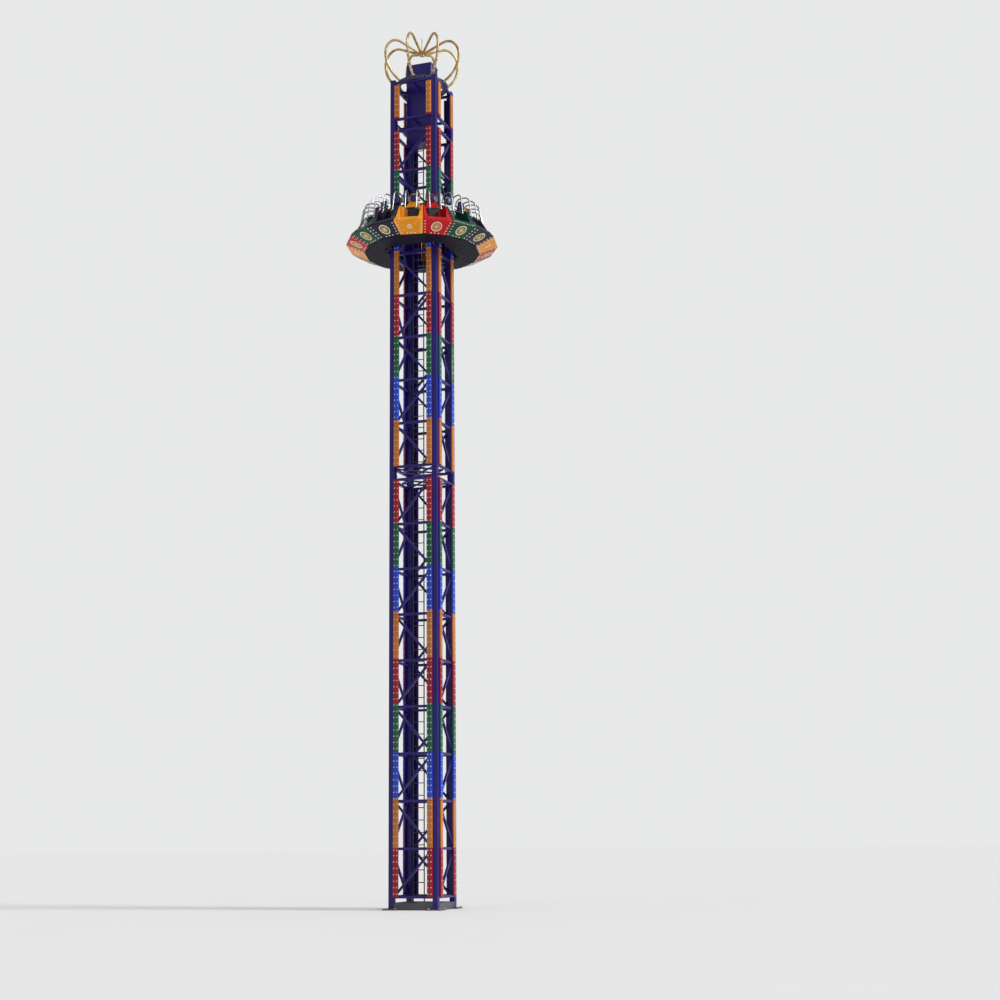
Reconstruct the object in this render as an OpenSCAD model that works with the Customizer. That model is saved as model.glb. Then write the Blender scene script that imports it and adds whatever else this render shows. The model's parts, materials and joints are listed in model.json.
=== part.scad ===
// Drop tower ride: a square lattice tower with lamp boards, a crown of bent tubes
// and a ring of sixteen outward-facing seats that slides up and down the tower.
// Millimetres, +Z up, front face towards -Y, origin in the middle of the base's
// underside. The gondola is drawn high on the tower, at gondola_z.

/* [Tower] */
// Width of the tower over its corner columns
tower_w = 1200; // [1100:10:1300]
// Side of a corner column's square tube
column_w = 130; // [110:5:150]
// Height from the ground to the first lamp board
foot_gap = 290; // [250:10:400]
// Bays in the lower section
low_bays = 9; // [5:1:10]
// Height of a bay in the lower section
low_bay_h = 1069; // [900:1:1150]
// Bays in the middle section
mid_bays = 8; // [6:1:10]
// Height of a bay in the middle section
mid_bay_h = 1052; // [900:1:1150]
// Height of the one bay in the top section
top_bay_h = 880; // [800:10:1000]
// Length of bare column where two sections are joined
joint_gap = 310; // [260:10:400]
// Length of bare column above the topmost lamp board
top_gap = 160; // [120:10:240]

/* [Bracing] */
// Side of a horizontal bar
rail_w = 60; // [50:5:80]
// Side of a diagonal bar
diagonal_w = 50; // [40:5:60]
// Length of a splice plate over a section joint
splice_h = 280; // [200:10:400]
// Width of a splice plate
splice_w = 66; // [50:1:66]
// Space between a splice plate and the horizontal bars
splice_edge = 2; // [1:0.5:4]
// Thickness of a splice plate
splice_t = 12; // [8:1:20]

/* [Lamp boards] */
// Width of a lamp board
board_w = 130; // [110:1:160]
// Depth of a lamp board in front of the column
board_t = 40; // [30:1:50]
// Bevel along a lamp board's front edges
board_bevel = 10; // [4:1:14]
// Space between a lamp board and the next above it
board_gap = 6; // [3:1:20]
// Width of column face left bare beside the boards, for the guide rollers
track_w = 120; // [90:1:125]

/* [Ladder] */
// Width of the service ladder over its side bars
ladder_w = 290; // [260:5:300]
// Space between the ladder and the splice plates beside it
ladder_side = 8; // [5:1:40]
// Depth of a side bar of the ladder
ladder_bar_d = 40; // [30:1:60]
// Thickness of a side bar of the ladder
ladder_bar_t = 16; // [10:1:20]
// Diameter of a rung
rung_d = 22; // [16:1:28]
// Distance between two rungs
rung_pitch = 285; // [250:5:300]
// Length of tower above the top of the ladder
ladder_rest = 120; // [100:10:300]

/* [Base] */
// Side of a column's foot plate
foot_w = 340; // [300:10:400]
// Thickness of a foot plate
foot_t = 30; // [20:1:40]
// Width of the ground beams between the foot plates
beam_w = 120; // [80:5:160]
// Height of the ground beams
beam_h = 160; // [120:5:200]
// Spacing of the anchor holes in a foot plate
anchor_pitch = 270; // [240:5:290]
// Diameter of an anchor hole
anchor_d = 28; // [20:1:32]

/* [Head] */
// Width of the section of the ring between the column tops
ring_w = 110; // [90:5:120]
// Space between the ring and the columns' inner corners
ring_room = 20; // [10:1:30]
// Height of the ring's section
ring_h = 90; // [70:5:110]
// Bevel of the ring's section
ring_bevel = 12; // [8:1:14]
// Distance that the ring sits below the top of the columns
ring_sink = 60; // [40:5:80]
// Width of the sheave housing, from the left face to the right one
housing_w = 680; // [560:10:720]
// Width of the sheave housing, from the front face to the back one
housing_l = 440; // [380:10:600]
// Height of the housing above the columns
housing_rise = 520; // [400:10:700]
// Depth of the housing below the top of the columns
housing_drop = 1550; // [1300:10:2200]
// Bevel of the housing's upright corners
housing_bevel = 30; // [10:5:50]

/* [Crown] */
// Tubes in the crown
crown_tubes = 8; // [6:1:8]
// Diameter of a crown tube
crown_tube_d = 62; // [40:1:66]
// Diameter of the collar that holds a crown tube on the ring
crown_collar_d = 84; // [80:1:86]
// Height of the collar
crown_collar_h = 50; // [45:1:80]
// Depth of a crown tube inside its collar
crown_socket = 20; // [10:1:30]
// Largest radius of the crown
crown_wide_r = 980; // [900:10:1100]
// Height of the widest place above the columns
crown_wide_z = 730; // [650:10:800]
// Radius of the circle through the tops of the tubes
crown_peak_r = 665; // [620:5:700]
// Height of the tube tops above the columns
crown_peak_z = 1110; // [1050:10:1200]
// Bend radius at the tube tops
crown_bend_r = 260; // [220:5:280]
// Angle by which the tighter bend starts late, so that the sweep stays smooth
crown_ease = 13; // [8:1:18]
// Distance over the flats of the hub
hub_w = 160; // [140:5:200]
// Height of the hub
hub_h = 110; // [90:5:160]
// Height of the hub's middle above the columns
hub_z = 870; // [830:10:900]
// Height of the spike's tip above the columns
spike_z = 1290; // [1250:10:1600]
// Diameter of the spike
spike_d = 24; // [16:1:40]

/* [Gondola] */
// Height of the gondola's rim where the model is drawn
gondola_z = 15830; // [14000:10:17000]
// Radius over the corners of the rim
rim_r = 1850; // [1800:5:1900]
// Radius over the corners of the floor
floor_r = 1400; // [1340:5:1450]
// Height of the sloping apron
apron_h = 190; // [160:5:260]
// Thickness of an apron panel
apron_t = 20; // [12:1:30]
// Space between two apron panels
apron_gap = 6; // [3:1:10]
// Thickness of the floor plate
floor_t = 12; // [8:1:20]
// Thickness of a radial rib
rib_t = 20; // [12:1:30]
// Radius over the corners of the inner ring wall
wall_r = 1120; // [1080:5:1150]
// Thickness of the inner ring wall
wall_t = 20; // [12:1:30]

/* [Carriage] */
// Space between the guide rollers and the carriage frames
roller_room = 4.7; // [3:0.1:10]
// Thickness of the carriage frames, seen from above
carriage_t = 40; // [34:1:50]
// Height of a carriage frame's section
carriage_h = 60; // [50:5:80]
// Distance from the tower's middle plane to the carriage posts
post_x = 350; // [250:10:400]
// Diameter of a guide roller
roller_d = 140; // [120:1:140]
// Width of a guide roller
roller_w = 50; // [40:1:60]
// Distance from the tower's corner to the middle of a guide roller's track
roller_in = 45; // [40:1:50]
// Running gap between a roller and its column
roller_gap = 0.3; // [0.2:0.1:1]
// Diameter of a roller's axle
axle_d = 24; // [16:1:30]
// Space between a roller and its lugs
roller_side = 2; // [1:0.5:4]
// Distance that the roller lugs stay behind the front of the lamp boards
roller_edge = 15; // [10:1:30]
// Thickness of a roller lug
lug_t = 12; // [8:1:14]

/* [Seats] */
// Thickness of the seat pan
pan_t = 40; // [30:1:60]
// Distance from the restraint hinges out to the foot of the seat backs
seat_reach = 132; // [128:1:150]
// Height of a seat above the rim
back_h = 920; // [880:10:960]
// Thickness of a seat back
back_t = 50; // [40:1:54]
// Backward lean of a seat back in degrees
back_lean = 6; // [4:0.5:7]
// Distance that a seat pan runs in behind the seat back
pan_tail = 30; // [20:1:36]
// Space between the front of a seat pan and the rim
pan_edge = 5; // [4:1:20]
// Distance that a seat back reaches down into the pan
back_foot = 10; // [5:1:20]
// Half width of a seat back at the shoulders
shoulder_x = 190; // [160:5:200]
// Half width of a headrest
headrest_x = 106; // [90:1:108]
// Height of the straight sides of a headrest
headrest_side = 120; // [90:5:140]
// Height of the slope from the headrest down to the shoulders
shoulder_slope = 120; // [90:5:150]
// Height of the lip in front of a seat
lip_h = 105; // [90:5:130]
// Distance that the lip leans in at its top
lip_lean = 60; // [40:5:70]
// Thickness of the lip
lip_t = 26; // [16:1:30]
// Thickness of a side wing
wing_t = 24; // [16:1:30]
// Height of a side wing where it starts to drop to the lip
wing_h = 520; // [400:10:560]
// Distance from the tower's axis at which a wing starts to drop
wing_drop_r = 1420; // [1380:10:1500]
// Rise of a wing's top edge from there in to the seat back
wing_rise = 40; // [0:5:60]
// Space between a seat cushion and the bolsters beside it
bolster_side = 5; // [3:1:10]
// Lean of the bolsters' inner faces in degrees
bolster_lean = 8; // [6:1:12]
// Space between a seat and the plane halfway to its neighbour
seat_gap = 6; // [4:1:10]
// Thickness of the cushions
cushion_t = 50; // [30:1:60]
// Space between the two cushions of a seat
cushion_space = 40; // [20:1:60]
// Width of a seat cushion
seat_pad_w = 400; // [340:5:430]
// Space between a seat cushion and the front of the pan
pad_front = 90; // [60:5:140]
// Width of a back cushion
back_pad_w = 300; // [240:5:340]
// Height of a back cushion
back_pad_h = 440; // [380:5:470]
// Corner cut of the cushions
pad_cut = 34; // [10:1:60]
// Width of a headrest pad
head_pad_w = 180; // [150:5:190]
// Height of a headrest pad
head_pad_h = 200; // [160:5:220]
// Corner cut of a headrest pad
head_pad_cut = 60; // [40:1:70]
// Distance of a headrest pad below the top of the seat back
head_pad_edge = 30; // [20:1:40]

/* [Restraints] */
// Distance from the corners of the hinge ring out to the hinges
hinge_reach = 50; // [46:1:60]
// Height of the restraint hinges above the rim
hinge_z = 770; // [760:5:780]
// Diameter of the hinge shaft
shaft_d = 30; // [24:1:34]
// Height of the hinges above the top deck
hinge_drop = 70; // [65:1:80]
// Space between the corners of the carriage frame and the hinge ring
hinge_ring_room = 3; // [2:0.5:6]
// Thickness of the hinge ring
hinge_ring_t = 32; // [24:1:34]
// Half distance between the two lugs of a hinge
lug_x = 60; // [40:1:80]
// Material round the bore of a hinge lug
lug_rim = 20; // [18:1:20]
// Distance of a lug's root from the edges of the hinge ring
lug_foot = 5; // [3:1:10]
// Clearance round the hinge shaft
shaft_gap = 0.4; // [0.3:0.1:1]
// Half distance between the two arms of a restraint
arm_x = 135; // [132:1:140]
// Diameter of a restraint arm's tube
arm_d = 32; // [28:1:34]
// Rise of the arms above the hinge
arm_rise = 160; // [140:5:180]
// Length of the level stretch over the shoulders
arm_level = 110; // [80:5:140]
// Length of the stretch down in front of the rider
arm_drop = 400; // [350:10:440]
// Bend radius of the arms behind the shoulder
shoulder_r = 120; // [100:5:130]
// Bend radius of the arms in front of the shoulder
chest_r = 150; // [120:5:160]
// Angle through which the arms turn down in front
arm_turn = 80; // [70:1:85]
// Diameter of the boss at each end of the hinge shaft
boss_d = 52; // [44:1:56]
// Width of a hinge boss
boss_w = 36; // [34:1:40]
// Diameter of the bar across the lap
bar_d = 42; // [38:1:50]

/* [Hidden] */
seats = 16;
seat_clear = 0.3;
overlap = 1;
crown_sides = 12;
arm_sides = 8;
half_w = tower_w / 2;
bay_clear = tower_w - 2 * column_w;
joint1_z = foot_gap + low_bays * low_bay_h;
mid_z = joint1_z + joint_gap;
joint2_z = mid_z + mid_bays * mid_bay_h;
top_z = joint2_z + joint_gap;
tower_h = top_z + top_bay_h + top_gap;
ring_z = tower_h - ring_sink;
ring_r = norm([half_w - column_w, half_w - column_w]) - ring_room - ring_w / 2;
top_rail_z = ring_z - rail_w / 2;
ladder_x = half_w - column_w - splice_t - ladder_side - ladder_w / 2;
seat_step = 360 / seats;
seat_half = seat_step / 2;
floor_z = -apron_h;
apron_run = (rim_r - floor_r) * cos(seat_half);
apron_slant = norm([apron_run, apron_h]);
apron_tilt = atan2(apron_run, apron_h);
apron_level_t = apron_t / cos(apron_tilt);
deck_z = hinge_z - hinge_drop;
seat_pitch_slope = tan(seat_half);
roller_y = half_w + roller_gap + roller_d / 2;
roller_x = half_w - roller_in;
carriage_in = roller_y + roller_d / 2 + roller_room;
carriage_cut = carriage_in - roller_x - roller_w / 2;
carriage_out = carriage_in + carriage_t;
carriage_out_cut = carriage_cut + carriage_t * (2 - sqrt(2));
carriage_corner = norm([carriage_out, carriage_out - carriage_out_cut]);
hinge_ring_r = (carriage_corner + hinge_ring_room) / cos(seat_half);
hinge_r = hinge_ring_r + hinge_reach;
back_r = hinge_r + seat_reach;
pan_front = rim_r * cos(seat_half) - pan_edge;
pan_back = back_r - pan_tail;
bolster_x = seat_pad_w / 2 + bolster_side;
seat_pad_y = back_r + back_t + cushion_t + cushion_space;
seat_pad_l = pan_front - pad_front - seat_pad_y;
colour_cycle = ["red", "green", "blue", "orange"];
structure_paint = "indigo";
chest_c = [shoulder_r + arm_level, arm_rise - chest_r];
chest_end = chest_c + chest_r * [sin(arm_turn), cos(arm_turn)];
arm_end = chest_end + arm_drop * [cos(arm_turn), -sin(arm_turn)];
$fn = 48;

// Repeats its children on one face of the tower: 0 front, 1 right, 2 back, 3 left.
module on_face(i) {
    rotate([0, 0, 90 * i]) children();
}

module at_corners(d) {
    for (x = [-1, 1], y = [-1, 1])
        translate([x * d, y * d, 0]) children();
}

// Places its children at seat i, looking along +Y out of the ring.
module at_seat(i) {
    translate([0, 0, gondola_z]) rotate([0, 0, 180 + seat_half + i * seat_step]) children();
}

// A box between two heights, centred on the axis.
module prism(x, y, z0, z1) {
    translate([-x / 2, -y / 2, z0]) cube([x, y, z1 - z0]);
}

// The corners of a regular polygon whose first corner lies on the Y axis.
function ring_points(r, n) = [for (i = [0 : n - 1]) [r * sin(i * 360 / n), r * cos(i * 360 / n)]];

// A rectangle of half sides x and y with its corners cut by c.
function cut_rectangle(x, y, c) = [
    [x - c, -y], [x, -(y - c)], [x, y - c], [x - c, y],
    [-(x - c), y], [-x, y - c], [-x, -(y - c)], [-(x - c), -y]
];

function cut_square(h, c) = cut_rectangle(h, h, c);

module base_frame() {
    color("dimgray") difference() {
        union() {
            at_corners(half_w - column_w / 2)
                prism(foot_w, foot_w, 0, foot_t);
            for (i = [0 : 3]) on_face(i)
                translate([0, -(half_w - column_w / 2), 0]) prism(bay_clear, beam_w, 0, beam_h);
            prism(beam_w, tower_w - column_w, 0, beam_h);
            prism(tower_w - column_w, beam_w, 0, beam_h);
        }
        at_corners(half_w - column_w / 2)
            at_corners(anchor_pitch / 2)
                translate([0, 0, -overlap]) cylinder(d = anchor_d, h = foot_t + 2 * overlap);
    }
}

module columns(z0, z1) {
    color(structure_paint)
        at_corners(half_w - column_w / 2) prism(column_w, column_w, z0, z1);
}

// Plates against the inner faces of the columns, over both section joints.
module splice_plates() {
    color(structure_paint)
        for (z = [joint1_z, joint2_z], i = [0 : 3], side = [0, 1])
            translate([0, 0, z + (joint_gap - splice_h) / 2]) on_face(i) mirror([side, 0, 0])
                translate([half_w - rail_w - splice_edge - splice_w, -half_w + column_w, 0])
                    cube([splice_w, splice_t, splice_h]);
}

// One bar of a lattice face, between the columns, at a given height.
module rail(z) {
    translate([-bay_clear / 2, -half_w, z - rail_w / 2]) cube([bay_clear, rail_w, rail_w]);
}

// A diagonal from one lower corner of a bay to the other upper corner.
module diagonal(z0, z1, rising) {
    length = norm([bay_clear, z1 - z0]);
    slope = atan2(z1 - z0, bay_clear) * (rising ? 1 : -1);
    intersection() {
        translate([0, -half_w + rail_w / 2, (z0 + z1) / 2]) rotate([0, -slope, 0])
            cube([length + rail_w, diagonal_w, diagonal_w], center = true);
        translate([-bay_clear / 2, -half_w, z0]) cube([bay_clear, rail_w, z1 - z0]);
    }
}

// One flat side of a section: a bar at each bay's ends and a diagonal in each bay.
module lattice_side(z0, bays, bay_h, first) {
    color(structure_paint) union() {
        for (i = [0 : bays]) rail(z0 + i * bay_h);
        for (i = [0 : bays - 1])
            diagonal(z0 + i * bay_h, z0 + (i + 1) * bay_h, (i + first) % 2 == 0);
    }
}

module bracing_lower(i) {
    on_face(i) lattice_side(foot_gap, low_bays, low_bay_h, 0);
}

module bracing_middle(i) {
    on_face(i) lattice_side(mid_z, mid_bays, mid_bay_h, 1);
}

// The top bay, with the arms that hold the sheave housing in the middle.
module bracing_top() {
    color(structure_paint) for (i = [0 : 3]) on_face(i) {
        housing_y = (i % 2 == 0 ? housing_l : housing_w) / 2;
        rail(top_z);
        rail(top_rail_z);
        for (z = [top_z, top_rail_z])
            translate([-rail_w / 2, -half_w + rail_w, z - rail_w / 2])
                cube([rail_w, half_w - rail_w - housing_y, rail_w]);
    }
}

// One lamp board: a shallow bevelled tray standing against the column face.
module lamp_board(z0, bay_h, paint) {
    color(paint) translate([half_w - track_w - board_w, -half_w, z0 + board_gap / 2])
        linear_extrude(height = bay_h - board_gap) polygon([
            [0, 0], [0, -board_t + board_bevel], [board_bevel, -board_t],
            [board_w - board_bevel, -board_t], [board_w, -board_t + board_bevel], [board_w, 0]
        ]);
}

// The boards of one section, coloured from the top down in a fixed order.
module board_run(z0, bays, bay_h, first) {
    for (i = [0 : bays - 1])
        lamp_board(z0 + i * bay_h, bay_h, colour_cycle[(first + bays - 1 - i) % 4]);
}

module lamp_boards(i) {
    on_face(i) for (side = [0, 1]) mirror([side, 0, 0]) {
        board_run(foot_gap, low_bays, low_bay_h, 0);
        board_run(mid_z, mid_bays, mid_bay_h, 0);
        board_run(top_z, 1, top_bay_h, 3);
    }
}

// The ladder inside the back face: it stands on the ground beam, against the bars.
module ladder() {
    rungs = floor((tower_h - ladder_rest - beam_h) / rung_pitch);
    bar_y = half_w - rail_w - ladder_bar_d;
    color("dimgray") translate([-ladder_x, bar_y, beam_h]) union() {
        for (side = [0, 1]) mirror([side, 0, 0])
            translate([ladder_w / 2 - ladder_bar_t, 0, 0])
                cube([ladder_bar_t, ladder_bar_d, tower_h - ladder_rest - beam_h]);
        for (i = [1 : rungs])
            translate([0, ladder_bar_d / 2, (i - 0.5) * rung_pitch]) rotate([0, 90, 0])
                cylinder(d = rung_d, h = ladder_w - ladder_bar_t, center = true, $fn = 24);
    }
}

module sheave_housing() {
    color(structure_paint) translate([0, 0, tower_h - housing_drop])
        linear_extrude(height = housing_drop + housing_rise)
            polygon(cut_rectangle(housing_w / 2, housing_l / 2, housing_bevel));
}

// The bevelled ring that lies on the topmost bars between the columns and carries the crown.
module head_ring() {
    w = ring_w / 2;
    b = ring_bevel;
    color("darkslateblue") translate([0, 0, ring_z]) rotate_extrude($fn = 96)
        translate([ring_r, 0]) polygon([
            [-w + b, 0], [w - b, 0], [w, b], [w, ring_h - b],
            [w - b, ring_h], [-w + b, ring_h], [-w, ring_h - b], [-w, b]
        ]);
}

// Places on an arc in the plane of Y and Z: each is [y, z, heading in degrees].
function bend(c, r, a0, a1, n) = [
    for (i = [0 : n]) let (a = a0 + (a1 - a0) * i / n)
        [c[0] + r * cos(a), c[1] + r * sin(a), a1 > a0 ? a + 90 : a - 90]
];

// A round tube swept along places in the plane of Y and Z.
module tube(path, d, sides) {
    last = len(path) - 1;
    points = [
        for (p = path, k = [0 : sides - 1]) let (a = (k + 0.5) * 360 / sides)
            [cos(a), -sin(a) * sin(p[2]), sin(a) * cos(p[2])] * d / 2 + [0, p[0], p[1]]
    ];
    walls = [
        for (i = [0 : last - 1], k = [0 : sides - 1]) let (m = (k + 1) % sides)
            [i * sides + k, i * sides + m, (i + 1) * sides + m, (i + 1) * sides + k]
    ];
    start = [for (k = [sides - 1 : -1 : 0]) k];
    end = [for (k = [0 : sides - 1]) last * sides + k];
    polyhedron(points, concat([start], walls, [end]));
}

// A crown tube: it flares out from the ring, turns over its peak and runs in to the hub.
module crown_tube() {
    collar_z = ring_h - ring_sink;
    foot_z = collar_z + crown_collar_h - crown_socket;
    flare = crown_wide_r - ring_r;
    rise = crown_wide_z - foot_z;
    flare_r = (flare * flare + rise * rise) / (2 * flare);
    run = crown_wide_r - crown_peak_r;
    bend_c = [crown_peak_r, crown_peak_z - crown_bend_r];
    step = bend_c[1] - crown_wide_z;
    side_r = (run * run + step * step - crown_bend_r * crown_bend_r) / (2 * (run - crown_bend_r));
    join_a = atan2(step, side_r - run);
    hub_point = [hub_w / 4, hub_z];
    to_hub = hub_point - bend_c;
    leave_a = 180 + atan2(-to_hub[1], -to_hub[0]) - acos(crown_bend_r / norm(to_hub));
    tube(concat(
        bend([crown_wide_r - flare_r, crown_wide_z], flare_r, -asin(rise / flare_r), 0, 6),
        bend([crown_wide_r - side_r, crown_wide_z], side_r, join_a / 4, join_a, 3),
        bend(bend_c, crown_bend_r, join_a + crown_ease, leave_a, 4),
        [[hub_point[0], hub_point[1], leave_a + 90]]
    ), crown_tube_d, crown_sides);
    translate([0, ring_r, collar_z]) cylinder(d = crown_collar_d, h = crown_collar_h);
}

module hub_prism() {
    translate([0, 0, hub_z - hub_h / 2]) rotate([0, 0, 180 / crown_tubes])
        linear_extrude(height = hub_h)
            polygon(ring_points(hub_w / 2 / cos(180 / crown_tubes), crown_tubes));
}

module crown_arcs() {
    color("gold") translate([0, 0, tower_h]) difference() {
        for (i = [0 : crown_tubes - 1]) rotate([0, 0, i * 360 / crown_tubes]) crown_tube();
        hub_prism();
    }
}

module crown_hub() {
    color("gold") translate([0, 0, tower_h]) {
        hub_prism();
        translate([0, 0, hub_z + hub_h / 2 - overlap])
            cylinder(d = spike_d, h = spike_z - hub_z - hub_h / 2 + overlap);
    }
}

module gondola_floor() {
    color("black") translate([0, 0, gondola_z + floor_z - floor_t]) linear_extrude(height = floor_t)
        difference() {
            polygon(ring_points(floor_r, seats));
            polygon(cut_square(carriage_in, carriage_cut));
        }
}

// Radial ribs on the floor, between an inner ring wall and the apron.
module gondola_ribs() {
    inner = wall_r - wall_t;
    rib_back = (apron_level_t + rib_t / 2 * sin(seat_half) + seat_clear) / cos(seat_half);
    color("dimgray") translate([0, 0, gondola_z]) union() {
        translate([0, 0, floor_z]) linear_extrude(height = apron_h) difference() {
            polygon(ring_points(wall_r, seats));
            polygon(ring_points(inner, seats));
        }
        for (i = [0 : seats - 1]) rotate([0, 0, i * seat_step])
            translate([rib_t / 2, 0, 0]) rotate([0, -90, 0]) linear_extrude(height = rib_t) polygon([
                [floor_z, wall_r - wall_t / 2], [0, wall_r - wall_t / 2],
                [0, rim_r - rib_back], [floor_z, floor_r - rib_back]
            ]);
    }
}

module carriage_frame(z) {
    translate([0, 0, z]) linear_extrude(height = carriage_h) difference() {
        polygon(cut_square(carriage_out, carriage_out_cut));
        polygon(cut_square(carriage_in, carriage_cut));
    }
}

// Two frames round the tower, joined by eight posts, with lugs for the guide rollers.
module carriage() {
    color("dimgray") translate([0, 0, gondola_z]) union() {
        carriage_frame(floor_z);
        carriage_frame(deck_z - carriage_h);
        for (i = [0 : 3], x = [-post_x, post_x]) on_face(i)
            translate([x - carriage_t / 2, carriage_in, floor_z])
                cube([carriage_t, carriage_t, deck_z - floor_z]);
        for (i = [0 : 3], z = [floor_z, deck_z - carriage_h], s = [-1, 1], side = [0, 1])
            on_face(i) translate([s * roller_x, -carriage_in - lug_foot, z]) mirror([side, 0, 0])
                translate([roller_w / 2 + roller_side, 0, 0])
                    cube([lug_t, lug_foot + carriage_in - half_w - board_t - roller_edge, carriage_h]);
    }
}

module guide_rollers() {
    color("black") translate([0, 0, gondola_z])
        for (i = [0 : 3], z = [floor_z, deck_z - carriage_h], s = [-1, 1]) on_face(i)
            translate([s * roller_x, -roller_y, z + carriage_h / 2]) rotate([0, 90, 0]) union() {
                cylinder(d = roller_d, h = roller_w, center = true);
                cylinder(d = axle_d, h = roller_w + 2 * roller_side, center = true);
            }
}

// Side view of a hinge lug: out from the ring, then up to the shaft.
module hinge_lug_outline() {
    root_y = hinge_ring_r * cos(seat_half) + hinge_ring_t / 2;
    foot = deck_z - carriage_h + lug_foot;
    polygon([
        [root_y, foot], [hinge_r, foot],
        [hinge_r + lug_rim, hinge_z - lug_rim], [hinge_r + lug_rim, hinge_z + lug_rim],
        [hinge_r - lug_rim, hinge_z + lug_rim], [hinge_r - lug_rim, deck_z - lug_foot],
        [root_y, deck_z - lug_foot]
    ]);
}

// A ring behind the seat backs whose lugs carry the hinge shafts of the restraints.
module hinge_ring() {
    color("dimgray") translate([0, 0, gondola_z]) difference() {
        union() {
            translate([0, 0, deck_z - carriage_h]) linear_extrude(height = carriage_h) difference() {
                polygon(ring_points(hinge_ring_r + hinge_ring_t, seats));
                polygon(ring_points(hinge_ring_r, seats));
            }
            for (i = [0 : seats - 1], x = [-lug_x, lug_x])
                rotate([0, 0, seat_half + i * seat_step]) translate([x - lug_t / 2, 0, 0])
                    rotate([90, 0, 90]) linear_extrude(height = lug_t) hinge_lug_outline();
        }
        for (i = [0 : seats - 1]) rotate([0, 0, seat_half + i * seat_step])
            translate([0, hinge_r, hinge_z]) rotate([0, 90, 0])
                cylinder(d = shaft_d + 2 * shaft_gap, h = 2 * (lug_x + lug_t), center = true);
    }
}

module top_deck() {
    color("dimgray") translate([0, 0, gondola_z + deck_z]) linear_extrude(height = floor_t)
        difference() {
            polygon(ring_points(hinge_ring_r + hinge_ring_t, seats));
            polygon(cut_square(carriage_in, carriage_cut));
        }
}

// One sloping trapezoid of the apron, trimmed level at the rim and at the floor.
module apron_panel() {
    spare = 2 * apron_t;
    slope_x = (rim_r - floor_r) * sin(seat_half) / apron_slant;
    low_x = floor_r * sin(seat_half) - apron_gap / 2;
    top_x = rim_r * sin(seat_half) - apron_gap / 2;
    intersection() {
        translate([0, floor_r * cos(seat_half), floor_z]) rotate([90 - apron_tilt, 0, 0])
            linear_extrude(height = apron_t) polygon([
                [-low_x, 0], [low_x, 0], [top_x, apron_slant],
                [top_x + spare * slope_x, apron_slant + spare],
                [-top_x - spare * slope_x, apron_slant + spare], [-top_x, apron_slant]
            ]);
        translate([-rim_r, 0, floor_z]) cube([2 * rim_r, 2 * rim_r, apron_h]);
    }
}

module apron(first, paint) {
    color(paint) for (i = [first : 4 : seats - 1]) at_seat(i) apron_panel();
}

// The half width left to a seat at a distance from the tower's axis.
function seat_x(y) = y * seat_pitch_slope - seat_gap;

function arc(cx, cy, r, a0, a1, n) =
    [for (i = [0 : n]) [cx + r * cos(a0 + (a1 - a0) * i / n), cy + r * sin(a0 + (a1 - a0) * i / n)]];

// Front view of a seat back: broad at the shoulders, round at the headrest.
module back_outline() {
    crown_c = back_h - headrest_x;
    neck_z = crown_c - headrest_side;
    shoulder_z = neck_z - shoulder_slope;
    polygon(concat(
        [[shoulder_x, 0], [shoulder_x, shoulder_z], [headrest_x, neck_z]],
        arc(0, crown_c, headrest_x, 0, 180, 12),
        [[-headrest_x, neck_z], [-shoulder_x, shoulder_z], [-shoulder_x, 0]]
    ));
}

// The plan of a seat: a wedge between the planes halfway to its neighbours.
module seat_plan() {
    polygon([
        [-seat_x(pan_back), pan_back], [seat_x(pan_back), pan_back],
        [seat_x(pan_front), pan_front], [-seat_x(pan_front), pan_front]
    ]);
}

// Side view of the lip that closes the pan in front.
module lip_outline() {
    polygon([
        [pan_front - lip_t, 0], [pan_front, 0],
        [pan_front - lip_lean, lip_h], [pan_front - lip_lean - lip_t, lip_h]
    ]);
}

// Side view of a wing: high beside the rider, dropping in a soft curve to the lip.
module wing_outline() {
    n = 12;
    end_r = (pan_front - lip_lean) / cos(seat_half);
    polygon(concat(
        [[pan_back, 0], [pan_front / cos(seat_half), 0]],
        [for (i = [0 : n]) let (t = i / n, s = t * t * (3 - 2 * t))
            [end_r + (wing_drop_r - end_r) * t, lip_h + (wing_h - lip_h) * s]],
        [[pan_back, wing_h + wing_rise]]
    ));
}

// The wing's side view, w thick, against the plane halfway to the next seat.
module wing(w) {
    rotate([0, 0, -seat_half]) translate([-w - seat_gap, 0, 0])
        rotate([90, 0, 90]) linear_extrude(height = w) wing_outline();
}

// The moulding that fills the corner between the pan and a wing, with a leaning inner face.
module bolster() {
    top = wing_h + wing_rise;
    top_x = bolster_x + (top - pan_t) * tan(bolster_lean);
    intersection() {
        wing(seat_x(pan_front) - bolster_x);
        translate([0, pan_front, 0]) rotate([90, 0, 0]) linear_extrude(height = pan_front - pan_back)
            polygon([[bolster_x, 0], [bolster_x, pan_t], [top_x, top], [rim_r, top], [rim_r, 0]]);
    }
}

module seat_shell() {
    linear_extrude(height = pan_t) seat_plan();
    translate([0, back_r, 0]) rotate([back_lean, 0, 0]) translate([0, back_t / 2, back_foot])
        rotate([90, 0, 0]) linear_extrude(height = back_t) back_outline();
    intersection() {
        linear_extrude(height = back_h) seat_plan();
        union() {
            rotate([90, 0, 90]) linear_extrude(height = 2 * seat_x(pan_front), center = true) lip_outline();
            for (side = [0, 1]) mirror([side, 0, 0]) {
                wing(wing_t);
                bolster();
            }
        }
    }
}

module seat_group(first, paint) {
    color(paint) for (i = [first : 4 : seats - 1]) at_seat(i) union() seat_shell();
}

// A rectangle standing on the X axis, with its corners cut.
module pad_outline(w, h, cut) {
    polygon([
        [-w / 2 + cut, 0], [w / 2 - cut, 0], [w / 2, cut], [w / 2, h - cut],
        [w / 2 - cut, h], [-w / 2 + cut, h], [-w / 2, h - cut], [-w / 2, cut]
    ]);
}

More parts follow.
